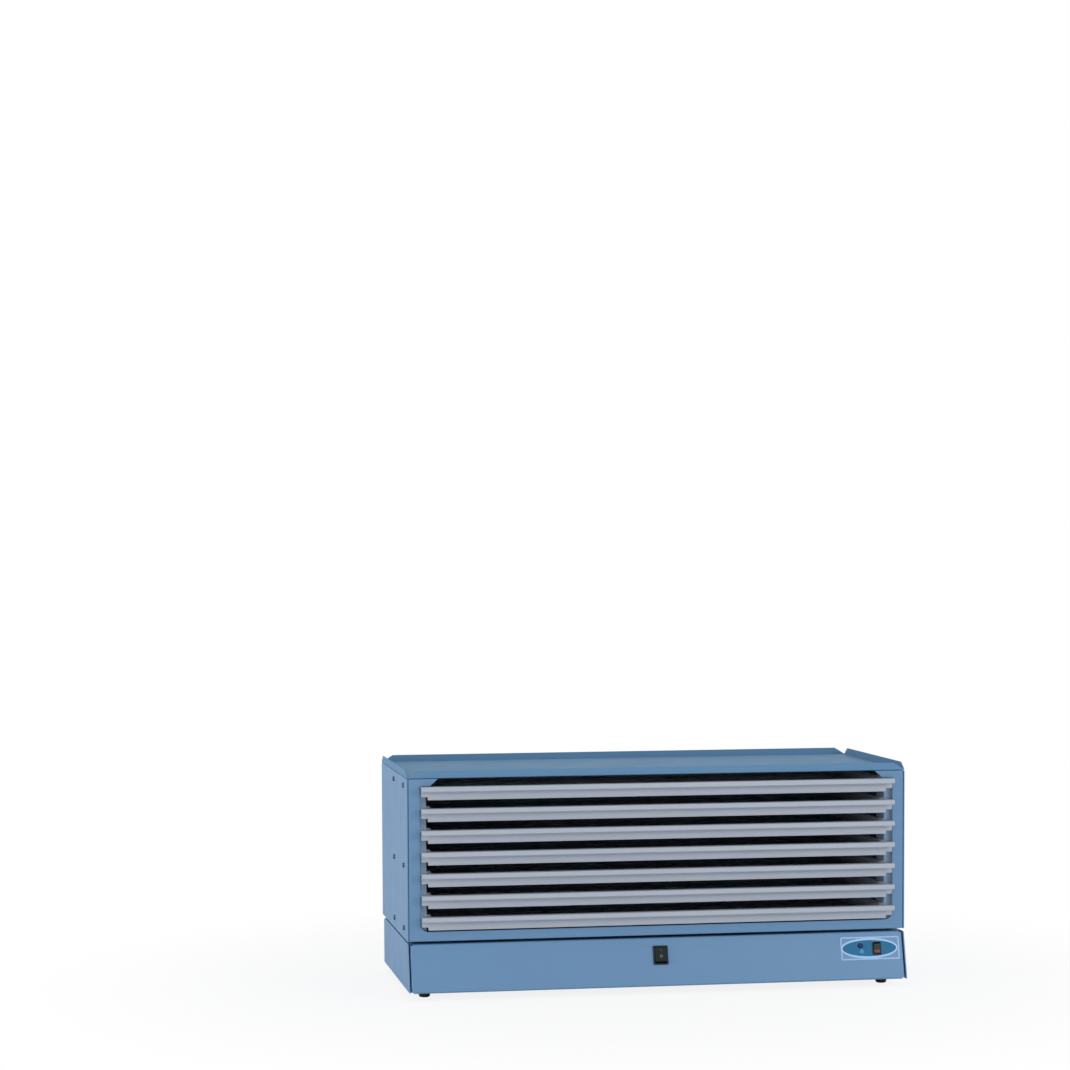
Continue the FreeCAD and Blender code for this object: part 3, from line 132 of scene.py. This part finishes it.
def linear(hex_colour):
    """sRGB hex to the linear colour that a shader takes."""
    channels = [int(hex_colour[i:i + 2], 16) / 255 for i in (1, 3, 5)]
    return [c / 12.92 if c <= 0.04045 else ((c + 0.055) / 1.055) ** 2.4 for c in channels] + [1.0]


def set_camera():
    data = bpy.data.cameras.new("camera")
    data.sensor_width = SENSOR
    data.lens = CAMERA_FOCAL / FRAME_WIDTH * SENSOR
    data.shift_y = CAMERA_AIM_ROW / FRAME_WIDTH - 0.5
    data.clip_end = CAMERA_REACH
    camera = bpy.data.objects.new("camera", data)
    turn = Matrix.Rotation(-CAMERA_YAW, 4, "Z") @ Matrix.Rotation(math.pi / 2 - CAMERA_PITCH, 4, "X")
    camera.matrix_world = Matrix.Translation(CAMERA_PLACE) @ turn @ Matrix.Rotation(CAMERA_ROLL, 4, "Z")
    bpy.context.scene.collection.objects.link(camera)
    bpy.context.scene.camera = camera


def set_world():
    """White to the eye and in reflections, a little dimmer as a light."""
    world = bpy.data.worlds.new("studio")
    world.use_nodes = True
    tree = world.node_tree
    tree.nodes.clear()
    rays = add(tree, "ShaderNodeLightPath")
    seen = add(tree, "ShaderNodeMath", {0: rays.outputs["Is Camera Ray"], 1: rays.outputs["Is Glossy Ray"]},
               operation="MAXIMUM")
    seen = add(tree, "ShaderNodeMath", {0: seen.outputs[0], 1: rays.outputs["Is Transmission Ray"]},
               operation="MAXIMUM")
    light = add(tree, "ShaderNodeBackground", {"Color": linear("#f6f8fb"), "Strength": WORLD_LIGHT})
    white = add(tree, "ShaderNodeBackground", {"Color": linear("#ffffff"), "Strength": PLAIN_WHITE})
    mixed = add(tree, "ShaderNodeMixShader", {0: seen.outputs[0], 1: light.outputs[0], 2: white.outputs[0]})
    add(tree, "ShaderNodeOutputWorld", {"Surface": mixed.outputs[0]})
    bpy.context.scene.world = world


def softbox(name, azimuth, elevation, distance, width, height, power):
    """Area lamp that faces the object from an azimuth right of the front and an elevation, in degrees."""
    data = bpy.data.lights.new(name, "AREA")
    data.shape = "RECTANGLE"
    data.size = width
    data.size_y = height
    data.energy = power
    lamp = bpy.data.objects.new(name, data)
    turn, rise = math.radians(azimuth), math.radians(elevation)
    away = Vector((math.sin(turn) * math.cos(rise), -math.cos(turn) * math.cos(rise), math.sin(rise)))
    facing = away.to_track_quat("Z", "Y").to_matrix().to_4x4()
    lamp.matrix_world = Matrix.Translation(away * distance) @ facing
    bpy.context.scene.collection.objects.link(lamp)


def lay_floor():
    """White floor that takes a soft shadow of the object and turns to plain white further out."""
    bpy.ops.object.select_all(action="DESELECT")
    bpy.ops.mesh.primitive_plane_add(size=FLOOR_SIZE, location=(0, 0, 0))
    floor = bpy.context.object
    floor.name = "floor"
    material = bpy.data.materials.new("white_sweep")
    material.use_nodes = True
    tree = material.node_tree
    tree.nodes.clear()
    rays = add(tree, "ShaderNodeLightPath")
    place = add(tree, "ShaderNodeTexCoord").outputs["Object"]
    reach = add(tree, "ShaderNodeVectorMath", {0: place}, operation="LENGTH").outputs["Value"]
    far = add(tree, "ShaderNodeMapRange", {"Value": reach, "From Min": SHADOW_REACH[0],
                                           "From Max": SHADOW_REACH[1], "To Min": SHADED_WHITE},
              interpolation_type="SMOOTHSTEP").outputs["Result"]
    plain = add(tree, "ShaderNodeMath", {0: far, 1: rays.outputs["Is Camera Ray"]}, operation="MULTIPLY")
    paper = add(tree, "ShaderNodeBsdfDiffuse", {"Color": linear("#f2f3f5")})
    white = add(tree, "ShaderNodeEmission", {"Color": linear("#ffffff"), "Strength": PLAIN_WHITE})
    mixed = add(tree, "ShaderNodeMixShader", {0: plain.outputs[0], 1: paper.outputs[0], 2: white.outputs[0]})
    add(tree, "ShaderNodeOutputMaterial", {"Surface": mixed.outputs[0]})
    floor.data.materials.append(material)


set_camera()
set_world()
softbox("key", azimuth=40, elevation=22, distance=4.0, width=1.2, height=1.0, power=30)
softbox("left_strip", azimuth=-78, elevation=6, distance=3.6, width=0.8, height=2.0, power=56)
softbox("right_strip", azimuth=84, elevation=6, distance=3.6, width=0.8, height=2.0, power=24)
softbox("front_fill", azimuth=-13, elevation=3, distance=4.4, width=0.7, height=0.7, power=20)
softbox("rear_fill", azimuth=128, elevation=9, distance=4.0, width=1.4, height=1.0, power=12)
lay_floor()
bpy.context.scene.view_settings.view_transform = "Standard"


# ---------------------------------------------------------------- finishes
NOISE_SPAN = (0.3, 0.7)                  # where most of a noise texture's values lie
EDGE_RADIUS = 0.5 * MM                   # to which a coat rounds sharp edges


def per_metre(millimetres):
    """Texture scale at which a pattern has that size."""
    return 1.0 / (millimetres * MM)


def start_material(name):
    """Empty material; returns it, its node tree and the Object coordinates that patterns follow."""
    material = bpy.data.materials.new(name)
    material.use_nodes = True
    tree = material.node_tree
    tree.nodes.clear()
    return material, tree, add(tree, "ShaderNodeTexCoord").outputs["Object"]


def end_material(tree, inputs):
    """Principled shader with these inputs, and the material's output."""
    shader = add(tree, "ShaderNodeBsdfPrincipled", inputs)
    add(tree, "ShaderNodeOutputMaterial", {"Surface": shader.outputs["BSDF"]})


def two_tone(tree, place, colours, spacing, pattern, roughness, detail=3.0):
    """Shader inputs for a colour that wanders between two hex values over a distance in millimetres,
    and a roughness that follows a pattern between two values."""
    cloud = add(tree, "ShaderNodeTexNoise", {"Vector": place, "Scale": per_metre(spacing), "Detail": detail})
    colour = add(tree, "ShaderNodeMix", {"Factor": cloud.outputs["Fac"], "A": linear(colours[0]),
                                         "B": linear(colours[1])}, data_type="RGBA")
    level = add(tree, "ShaderNodeMapRange", {"Value": pattern.outputs["Fac"], "From Min": NOISE_SPAN[0],
                                             "From Max": NOISE_SPAN[1], "To Min": roughness[0],
                                             "To Max": roughness[1]})
    return {"Base Color": colour.outputs["Result"], "Roughness": level.outputs["Result"]}


def powder_coat(name, low, high, roughness, peel_depth, gloss):
    """Polyester powder coat on sheet steel: even satin colour with the faint ripple of orange peel."""
    material, tree, place = start_material(name)
    ripple = add(tree, "ShaderNodeTexNoise", {"Vector": place, "Scale": per_metre(PEEL_RIPPLE),
                                              "Detail": 1.0})
    cloud = add(tree, "ShaderNodeTexNoise", {"Vector": place, "Scale": per_metre(COAT_CLOUDS),
                                             "Detail": 2.0})
    edge = add(tree, "ShaderNodeBevel", {"Radius": EDGE_RADIUS}, samples=4)
    peel = add(tree, "ShaderNodeBump", {"Height": ripple.outputs["Fac"], "Strength": 0.25,
                                        "Distance": peel_depth * MM, "Normal": edge.outputs["Normal"]})
    end_material(tree, {
        **two_tone(tree, place, (low, high), COAT_DRIFT, cloud, (roughness - 0.04, roughness + 0.04)),
        "Normal": peel.outputs["Normal"],
        "IOR": 1.5,
        "Specular IOR Level": gloss,
    })
    return material


def moulded(name, low, high, roughness, grain, ior=1.49, gloss=0.5):
    """Injection-moulded plastic: fine spark-eroded grain that breaks up the gloss."""
    material, tree, place = start_material(name)
    pits = add(tree, "ShaderNodeTexNoise", {"Vector": place, "Scale": per_metre(grain), "Detail": 2.0})
    relief = add(tree, "ShaderNodeBump", {"Height": pits.outputs["Fac"], "Strength": 0.3,
                                          "Distance": 0.05 * MM})
    end_material(tree, {
        **two_tone(tree, place, (low, high), PLASTIC_DRIFT, pits, (roughness - 0.05, roughness + 0.07)),
        "Normal": relief.outputs["Normal"],
        "IOR": ior,
        "Specular IOR Level": gloss,
    })
    return material


def rubber():
    """Moulded nitrile rubber: matt black with a dusty bloom in patches."""
    material, tree, place = start_material("nitrile_rubber")
    bloom = add(tree, "ShaderNodeTexNoise", {"Vector": place, "Scale": per_metre(RUBBER_BLOOM),
                                             "Detail": 5.0})
    relief = add(tree, "ShaderNodeBump", {"Height": bloom.outputs["Fac"], "Strength": 0.3,
                                          "Distance": 0.1 * MM})
    end_material(tree, {
        **two_tone(tree, place, ("#0b0c0e", "#202226"), RUBBER_DRIFT, bloom, (0.62, 0.85), detail=5.0),
        "Normal": relief.outputs["Normal"],
    })
    return material


def zinc_plate():
    """Bright zinc plate, passivated: cool silver with soft crystalline patches."""
    material, tree, place = start_material("zinc_plate")
    crystals = add(tree, "ShaderNodeTexVoronoi", {"Vector": place, "Scale": per_metre(ZINC_CRYSTALS)})
    haze = add(tree, "ShaderNodeTexNoise", {"Vector": place, "Scale": per_metre(ZINC_HAZE), "Detail": 3.0})
    tint = add(tree, "ShaderNodeMix", {"Factor": crystals.outputs["Distance"], "A": linear("#a9adb1"),
                                       "B": linear("#c6c9c9")}, data_type="RGBA")
    level = add(tree, "ShaderNodeMapRange", {"Value": haze.outputs["Fac"], "From Min": NOISE_SPAN[0],
                                             "From Max": NOISE_SPAN[1], "To Min": 0.32, "To Max": 0.48})
    end_material(tree, {"Base Color": tint.outputs["Result"], "Roughness": level.outputs["Result"],
                        "Metallic": 1.0})
    return material


def ground_steel(name, low, high, roughness):
    """Ground or turned steel: fine tool lines, drawn coarse enough to show."""
    material, tree, place = start_material(name)
    lines = add(tree, "ShaderNodeTexWave", {"Vector": place, "Scale": per_metre(TOOL_PATTERN),
                                            "Distortion": 1.5, "Detail": 2.0},
                wave_type="BANDS", bands_direction="X")
    relief = add(tree, "ShaderNodeBump", {"Height": lines.outputs["Fac"], "Strength": 0.15,
                                          "Distance": 0.02 * MM})
    end_material(tree, {
        **two_tone(tree, place, (low, high), STEEL_DRIFT, lines, (roughness - 0.04, roughness + 0.06)),
        "Normal": relief.outputs["Normal"],
        "Metallic": 1.0,
    })
    return material


def sand_cast():
    """Sand-cast aluminium: dull silver with a coarse skin of grains."""
    material, tree, place = start_material("sand_cast_aluminium")
    grains = add(tree, "ShaderNodeTexNoise", {"Vector": place, "Scale": per_metre(CAST_GRAINS),
                                              "Detail": 4.0})
    relief = add(tree, "ShaderNodeBump", {"Height": grains.outputs["Fac"], "Strength": 0.5,
                                          "Distance": 0.2 * MM})
    end_material(tree, {
        **two_tone(tree, place, ("#8f9396", "#b1b4b5"), CAST_DRIFT, grains, (0.5, 0.68), detail=4.0),
        "Normal": relief.outputs["Normal"],
        "Metallic": 1.0,
    })
    return material


def sintered_bronze():
    """Oil-filled sintered bronze: brown-gold with dark pores."""
    material, tree, place = start_material("sintered_bronze")
    pores = add(tree, "ShaderNodeTexVoronoi", {"Vector": place, "Scale": per_metre(BRONZE_PORES)})
    tint = add(tree, "ShaderNodeMix", {"Factor": pores.outputs["Distance"], "A": linear("#5c4424"),
                                       "B": linear("#b58a4e")}, data_type="RGBA")
    end_material(tree, {"Base Color": tint.outputs["Result"], "Metallic": 1.0, "Roughness": 0.42})
    return material


def circuit_board():
    """Green solder resist over copper tracks, with dark moulded components standing on it."""
    material, tree, place = start_material("solder_resist")
    tracks = add(tree, "ShaderNodeTexBrick", {"Vector": place, "Scale": per_metre(BOARD_TRACKS),
                                              "Mortar Size": 0.03, "Color1": linear("#0f5c33"),
                                              "Color2": linear("#0c4f2c"), "Mortar": linear("#2f8a55")})
    low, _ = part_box("control_board")
    height = add(tree, "ShaderNodeSeparateXYZ", {"Vector": place}).outputs["Z"]
    standing = add(tree, "ShaderNodeMath", {0: height, 1: low.z + PARTS_LEVEL}, operation="GREATER_THAN")
    parts = add(tree, "ShaderNodeMix", {"Factor": standing.outputs[0], "A": tracks.outputs["Color"],
                                        "B": linear("#1c1e22")}, data_type="RGBA")
    end_material(tree, {"Base Color": parts.outputs["Result"], "Roughness": 0.34})
    return material


# Colours up the alarm rocker, from its bottom edge (0) to its top (1): red below and green above, with a
# painted highlight as the pale band at 0.24 and painted shade as the dark bottom edge
ROCKER_FOOT_PAINTED_SHADE = "#221820"
ROCKER_HEAD = "#28403e"
ROCKER_BANDS_AND_PAINTED_HIGHLIGHT = ((0.12, "#2e191e"), (0.24, "#7c4a45"), (0.36, "#663937"), (0.46, "#431f21"),
                (0.58, "#3f2a25"), (0.68, "#2b3833"))


def two_colour_rocker_with_painted_light():
    """Two-shot moulded polycarbonate: dark green upper half and a red lower half, which carries a painted
    highlight as a paler band and painted shade along its bottom edge.
    """
    material, tree, place = start_material("two_shot_polycarbonate_painted_highlight")
    low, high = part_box("alarm_switch_rocker")
    height = add(tree, "ShaderNodeSeparateXYZ", {"Vector": place}).outputs["Z"]
    climb = add(tree, "ShaderNodeMapRange", {"Value": height, "From Min": low.z, "From Max": high.z})
    tone_and_highlight_bands = add(tree, "ShaderNodeValToRGB", {"Fac": climb.outputs["Result"]})
    tone_and_highlight_ramp = tone_and_highlight_bands.color_ramp
    # the ramp's pale band is a painted highlight and its dark foot is painted shade
    for position, colour in ROCKER_BANDS_AND_PAINTED_HIGHLIGHT:
        tone_and_highlight_ramp.elements.new(position).color = linear(colour)
    tone_and_highlight_ramp.elements[0].color = linear(ROCKER_FOOT_PAINTED_SHADE)
    tone_and_highlight_ramp.elements[-1].color = linear(ROCKER_HEAD)
    end_material(tree, {"Base Color": tone_and_highlight_bands.outputs["Color"], "Roughness": 0.3, "IOR": 1.585,
                        "Specular IOR Level": 0.3})
    return material


def printed(name, low, high):
    """Screen-printed ink: flat colour with the faint mottle of the mesh."""
    material, tree, place = start_material(name)
    mottle = add(tree, "ShaderNodeTexNoise", {"Vector": place, "Scale": per_metre(INK_MESH), "Detail": 1.0})
    end_material(tree, {**two_tone(tree, place, (low, high), INK_DRIFT, mottle, (0.36, 0.46)),
                        "Specular IOR Level": 0.3})
    return material


# One finish for each material slot of the record. A coat's numbers are its roughness, the depth of its peel
# in millimetres and its gloss; a moulding's are its roughness, grain in millimetres, IOR and gloss.
FINISHES = {
    "steel_blue": powder_coat("blue_powder_coat", "#5e87ad", "#638cb1", 0.44, 0.05, 0.5),
    # the guide columns' coat is a lighter grey-blue than the housing: painted light that makes up for the
    # shade in their recess
    "column_blue": powder_coat("lightened_blue_powder_coat", "#90a8c4", "#96adc8", 0.5, 0.05, 0.3),
    "drawer_grey": powder_coat("light_grey_epoxy", "#a9b1bc", "#afb7c2", 0.44, 0.04, 0.3),
    "runner_nylon": moulded("natural_nylon", "#a9b2b9", "#b5bdc3", 0.5, 0.8, 1.53),
    "foot_rubber": rubber(),
    "zinc_steel": zinc_plate(),
    "black_screw": ground_steel("black_oxide_steel", "#46566c", "#52627a", 0.45),
    "hard_shaft": ground_steel("hard_chromed_shaft", "#c3c6c9", "#d0d2d4", 0.18),
    "cast_alloy": sand_cast(),
    "bronze_bush": sintered_bronze(),
    "bearing_steel": ground_steel("bearing_steel", "#a4a8ac", "#b7babd", 0.25),
    "circuit_board": circuit_board(),
    "black_plastic": moulded("black_nylon", "#0f1214", "#181c1e", 0.42, 0.5, 1.49, 0.22),
    # the alarm rocker's colour bands hold a painted highlight and painted shade at its bottom edge
    "rocker_two_colour": two_colour_rocker_with_painted_light(),
    "button_blue": moulded("navy_nylon", "#0e2a66", "#14326f", 0.4, 0.4, 1.49, 0.2),
    "overlay_film": moulded("polyester_film", "#6b8cb1", "#7191b5", 0.4, 0.3, 1.6, 0.3),
}

# Nodes whose finish differs from the rest of their slot: the tray's coat is dulled by what stands on it,
# the bezels' nylon has a blue cast and the power rocker's a green one
BEZEL_NYLON = moulded("blue_black_nylon", "#0f222c", "#162a34", 0.42, 0.5, 1.49, 0.2)
OWN_FINISHES = {
    "top_tray": powder_coat("scuffed_powder_coat", "#6089ab", "#658dae", 0.6, 0.05, 0.12),
    "power_switch_housing": BEZEL_NYLON,
    "alarm_switch_housing": BEZEL_NYLON,
    "power_switch_rocker": moulded("green_black_nylon", "#131c1a", "#1a2421", 0.42, 0.5, 1.49, 0.2),
}
for part in frame["record"]["subparts"]:
    finish = OWN_FINISHES.get(part["node"], FINISHES[part["material_slot"]])
    for socket in frame["nodes"][part["node"]].material_slots:
        socket.material = finish

PALE_INK = printed("pale_blue_ink", "#95b8e3", "#9fc1e8")
OVAL_INK = printed("paler_blue_ink", "#9ec4ea", "#a7ccee")
TEAL_INK = printed("teal_ink", "#0d648f", "#146b96")
BELL_INK = printed("pale_teal_ink", "#458cb4", "#5094ba")
MARK_GREY = printed("worn_grey_ink", "#6d7781", "#858f98")
MARK_FAINT = printed("rubbed_grey_ink", "#3a4644", "#4a5655")


# ---------------------------------------------------------------- making a print
def on_panel(centre, local):
    """Matrix that lays what is drawn flat about its own origin on the slope of the front panel."""
    return Matrix.Translation(centre) @ Matrix.Rotation(PANEL_LEAN, 4, "X") @ local


def finish_piece(piece, name, body, material, place):
    """Names a piece, sets its finish, moves its mesh into place and hangs it on its body."""
    piece.name = name
    piece.data.name = name
    piece.data.materials.clear()
    piece.data.materials.append(material)
    piece.data.transform(place)
    piece.data.update()
    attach(piece, body)
    return piece


def apply_modifiers(piece):
    bpy.context.view_layer.objects.active = piece
    for modifier in list(piece.modifiers):
        bpy.ops.object.modifier_apply(modifier=modifier.name)


def edit(piece):
    bpy.context.view_layer.objects.active = piece
    bpy.ops.object.mode_set(mode="EDIT")


def leave():
    bpy.ops.object.mode_set(mode="OBJECT")


def edit_only(piece, wanted):
    """Enters edit mode with only the vertices selected whose place passes the test."""
    bpy.context.tool_settings.mesh_select_mode = (True, False, False)
    for face in piece.data.polygons:
        face.select = False
    for line in piece.data.edges:
        line.select = False
    for vertex in piece.data.vertices:
        vertex.select = wanted(vertex.co)
    edit(piece)


def disc(radius, sides):
    """Flat filled disc about the origin, alone in the selection."""
    bpy.ops.object.select_all(action="DESELECT")
    bpy.ops.mesh.primitive_circle_add(vertices=sides, radius=radius, fill_type="NGON")
    return bpy.context.object


def flat_oval(width, height):
    """Flat filled oval about the origin."""
    oval = disc(UNIT_RADIUS, OVAL_SIDES)
    edit(oval)
    bpy.ops.transform.resize(value=(width, height, 1.0))
    leave()
    return oval


def rounded_plate(width, height, corner):
    """Flat rectangle with rounded corners about the origin."""
    bpy.ops.object.select_all(action="DESELECT")
    bpy.ops.mesh.primitive_plane_add(size=1.0)
    plate = bpy.context.object
    edit(plate)
    bpy.ops.transform.resize(value=(width, height, 1.0))
    bpy.ops.mesh.bevel(offset=corner, segments=6, affect="VERTICES")
    leave()
    return plate


def hollow(piece, line):
    """Leaves only the outline of a new flat piece, as wide as the line."""
    edit(piece)
    bpy.ops.mesh.inset(thickness=line)
    bpy.ops.mesh.delete(type="FACE")
    leave()
    return piece


def thicken(piece, height):
    """Gives a flat piece its thickness upwards from its own plane."""
    solid = piece.modifiers.new("layer", "SOLIDIFY")
    solid.thickness = height
    solid.offset = 1.0
    apply_modifiers(piece)
    return piece


def cut(piece, cutter):
    """Takes a cutter away from a piece and removes the cutter."""
    tool = piece.modifiers.new("opening", "BOOLEAN")
    tool.operation = "DIFFERENCE"
    tool.object = cutter
    apply_modifiers(piece)
    bpy.data.objects.remove(cutter)


def round_cutter(radius, sides, place=(0, 0, 0), scale=(1, 1, 1)):
    """Upright cylinder for cutting."""
    bpy.ops.object.select_all(action="DESELECT")
    bpy.ops.mesh.primitive_cylinder_add(vertices=sides, radius=radius, depth=CUTTER_DEPTH, location=place,
                                        scale=scale)
    return bpy.context.object


def square_cutter(width, height, place):
    """Upright block for cutting."""
    bpy.ops.object.select_all(action="DESELECT")
    bpy.ops.mesh.primitive_cube_add(size=1.0, location=place, scale=(width, height, CUTTER_DEPTH))
    return bpy.context.object


# ---------------------------------------------------------------- the control label
OUTWARDS = Vector((0, -math.sin(PANEL_LEAN), math.cos(PANEL_LEAN)))
UP_PANEL = Vector((0, math.cos(PANEL_LEAN), math.sin(PANEL_LEAN)))
OVERLAY_LOW, OVERLAY_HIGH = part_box("control_overlay")
OVERLAY_FACE = (OVERLAY_LOW + OVERLAY_HIGH) / 2 + OUTWARDS * OVERLAY_THICK / 2
OVERLAY_WIDTH = OVERLAY_HIGH.x - OVERLAY_LOW.x
OVERLAY_HEIGHT = (OVERLAY_HIGH.z - OVERLAY_LOW.z) / math.sin(PANEL_LEAN)


def panel_offset(node):
    """How far a node's middle stands to the right of the label's middle, and up the slope from it."""
    low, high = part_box(node)
    away = (low + high) / 2 - OVERLAY_FACE
    return away.x, away.dot(UP_PANEL)


def oval_offset(node):
    """The same place from the middle of the oval."""
    x, y = panel_offset(node)
    return x - OVAL_SHIFT, y, 0


def label_print(piece, name, ink, shift=(0, 0, 0)):
    """Lays a print on the label, shifted from its middle."""
    return finish_piece(piece, name, "base", ink,
                        on_panel(OVERLAY_FACE, Matrix.Translation(shift)))


def label_outline():
    """Printed line round the label's edge."""
    plate = rounded_plate(OVERLAY_WIDTH, OVERLAY_HEIGHT, OVERLAY_CORNER)
    label_print(thicken(hollow(plate, OVERLAY_LINE), INK), "label_outline", PALE_INK)


def label_oval():
    """Pale oval line, twice as thick as the outline that it meets at its left end."""
    ring = thicken(flat_oval(*OVAL_SIZE), 2 * INK)
    cut(ring, round_cutter(UNIT_RADIUS, OVAL_SIDES, scale=(*FIELD_SIZE, 1)))
    label_print(ring, "label_oval", OVAL_INK, (OVAL_SHIFT, 0, 0))


def label_field():
    """Teal field inside the oval, open round the button and the alarm switch."""
    field = thicken(flat_oval(*FIELD_SIZE), INK)
    cut(field, round_cutter(BUTTON_HOLE, ROUND_SIDES, place=oval_offset("mute_button_housing")))
    cut(field, square_cutter(*SWITCH_HOLE, place=oval_offset("alarm_switch_housing")))
    label_print(field, "label_field", TEAL_INK, (OVAL_SHIFT, 0, 0))


def bell_mark():
    """Small solid bell under the button: a body that flares to its rim, and a clapper."""
    bell = rounded_plate(*BELL_SIZE, BELL_CORNER)
    edit_only(bell, lambda place: place.y > 0)
    bpy.ops.transform.resize(value=(BELL_CROWN, 1, 1))
    leave()
    edit_only(bell, lambda place: place.y < 0)
    bpy.ops.transform.resize(value=(BELL_RIM, 1, 1))
    leave()
    clapper = disc(CLAPPER_RADIUS, CLAPPER_SIDES)
    clapper.data.transform(Matrix.Translation((0, -BELL_SIZE[1] / 2 - CLAPPER_DROP, 0)))
    bpy.ops.object.select_all(action="DESELECT")
    for piece in (clapper, bell):
        piece.select_set(True)
    bpy.context.view_layer.objects.active = bell
    bpy.ops.object.join()
    x, y = panel_offset("mute_button_housing")
    label_print(thicken(bell, INK), "bell_mark", BELL_INK, (x + BELL_SHIFT[0], y + BELL_SHIFT[1], INK))


# ---------------------------------------------------------------- the power switch
def lay_on_rocker(piece, name, ink, x, y):
    """Drops a flat mark onto the power rocker's curved face at a place from the middle of its bezel."""
    low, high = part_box("power_switch_housing")
    above = (low + high) / 2 + OUTWARDS * DROP_HEIGHT
    piece = finish_piece(piece, name, "power_rocker", ink,
                         on_panel(above, Matrix.Translation((x, y, 0))))
    for vertex in piece.data.vertices:
        hit, place, _, _ = frame["nodes"]["power_switch_rocker"].ray_cast(vertex.co, -OUTWARDS)
        if hit:
            vertex.co = place
    thicken(piece, INK)


def rocker_marks():
    """Worn on and off marks on the power switch. The bar is subdivided so that it follows the curve."""
    bar = rounded_plate(*BAR_SIZE, BAR_CORNER)
    edit(bar)
    bpy.ops.mesh.select_all(action="SELECT")
    bpy.ops.mesh.quads_convert_to_tris()
    bpy.ops.mesh.subdivide(number_cuts=4)
    leave()
    lay_on_rocker(bar, "mark_on", MARK_FAINT, *BAR_PLACE)
    lay_on_rocker(hollow(disc(RING_RADIUS, ROUND_SIDES), RING_LINE), "mark_off", MARK_GREY, *RING_PLACE)


label_outline()
label_oval()
label_field()
bell_mark()
rocker_marks()
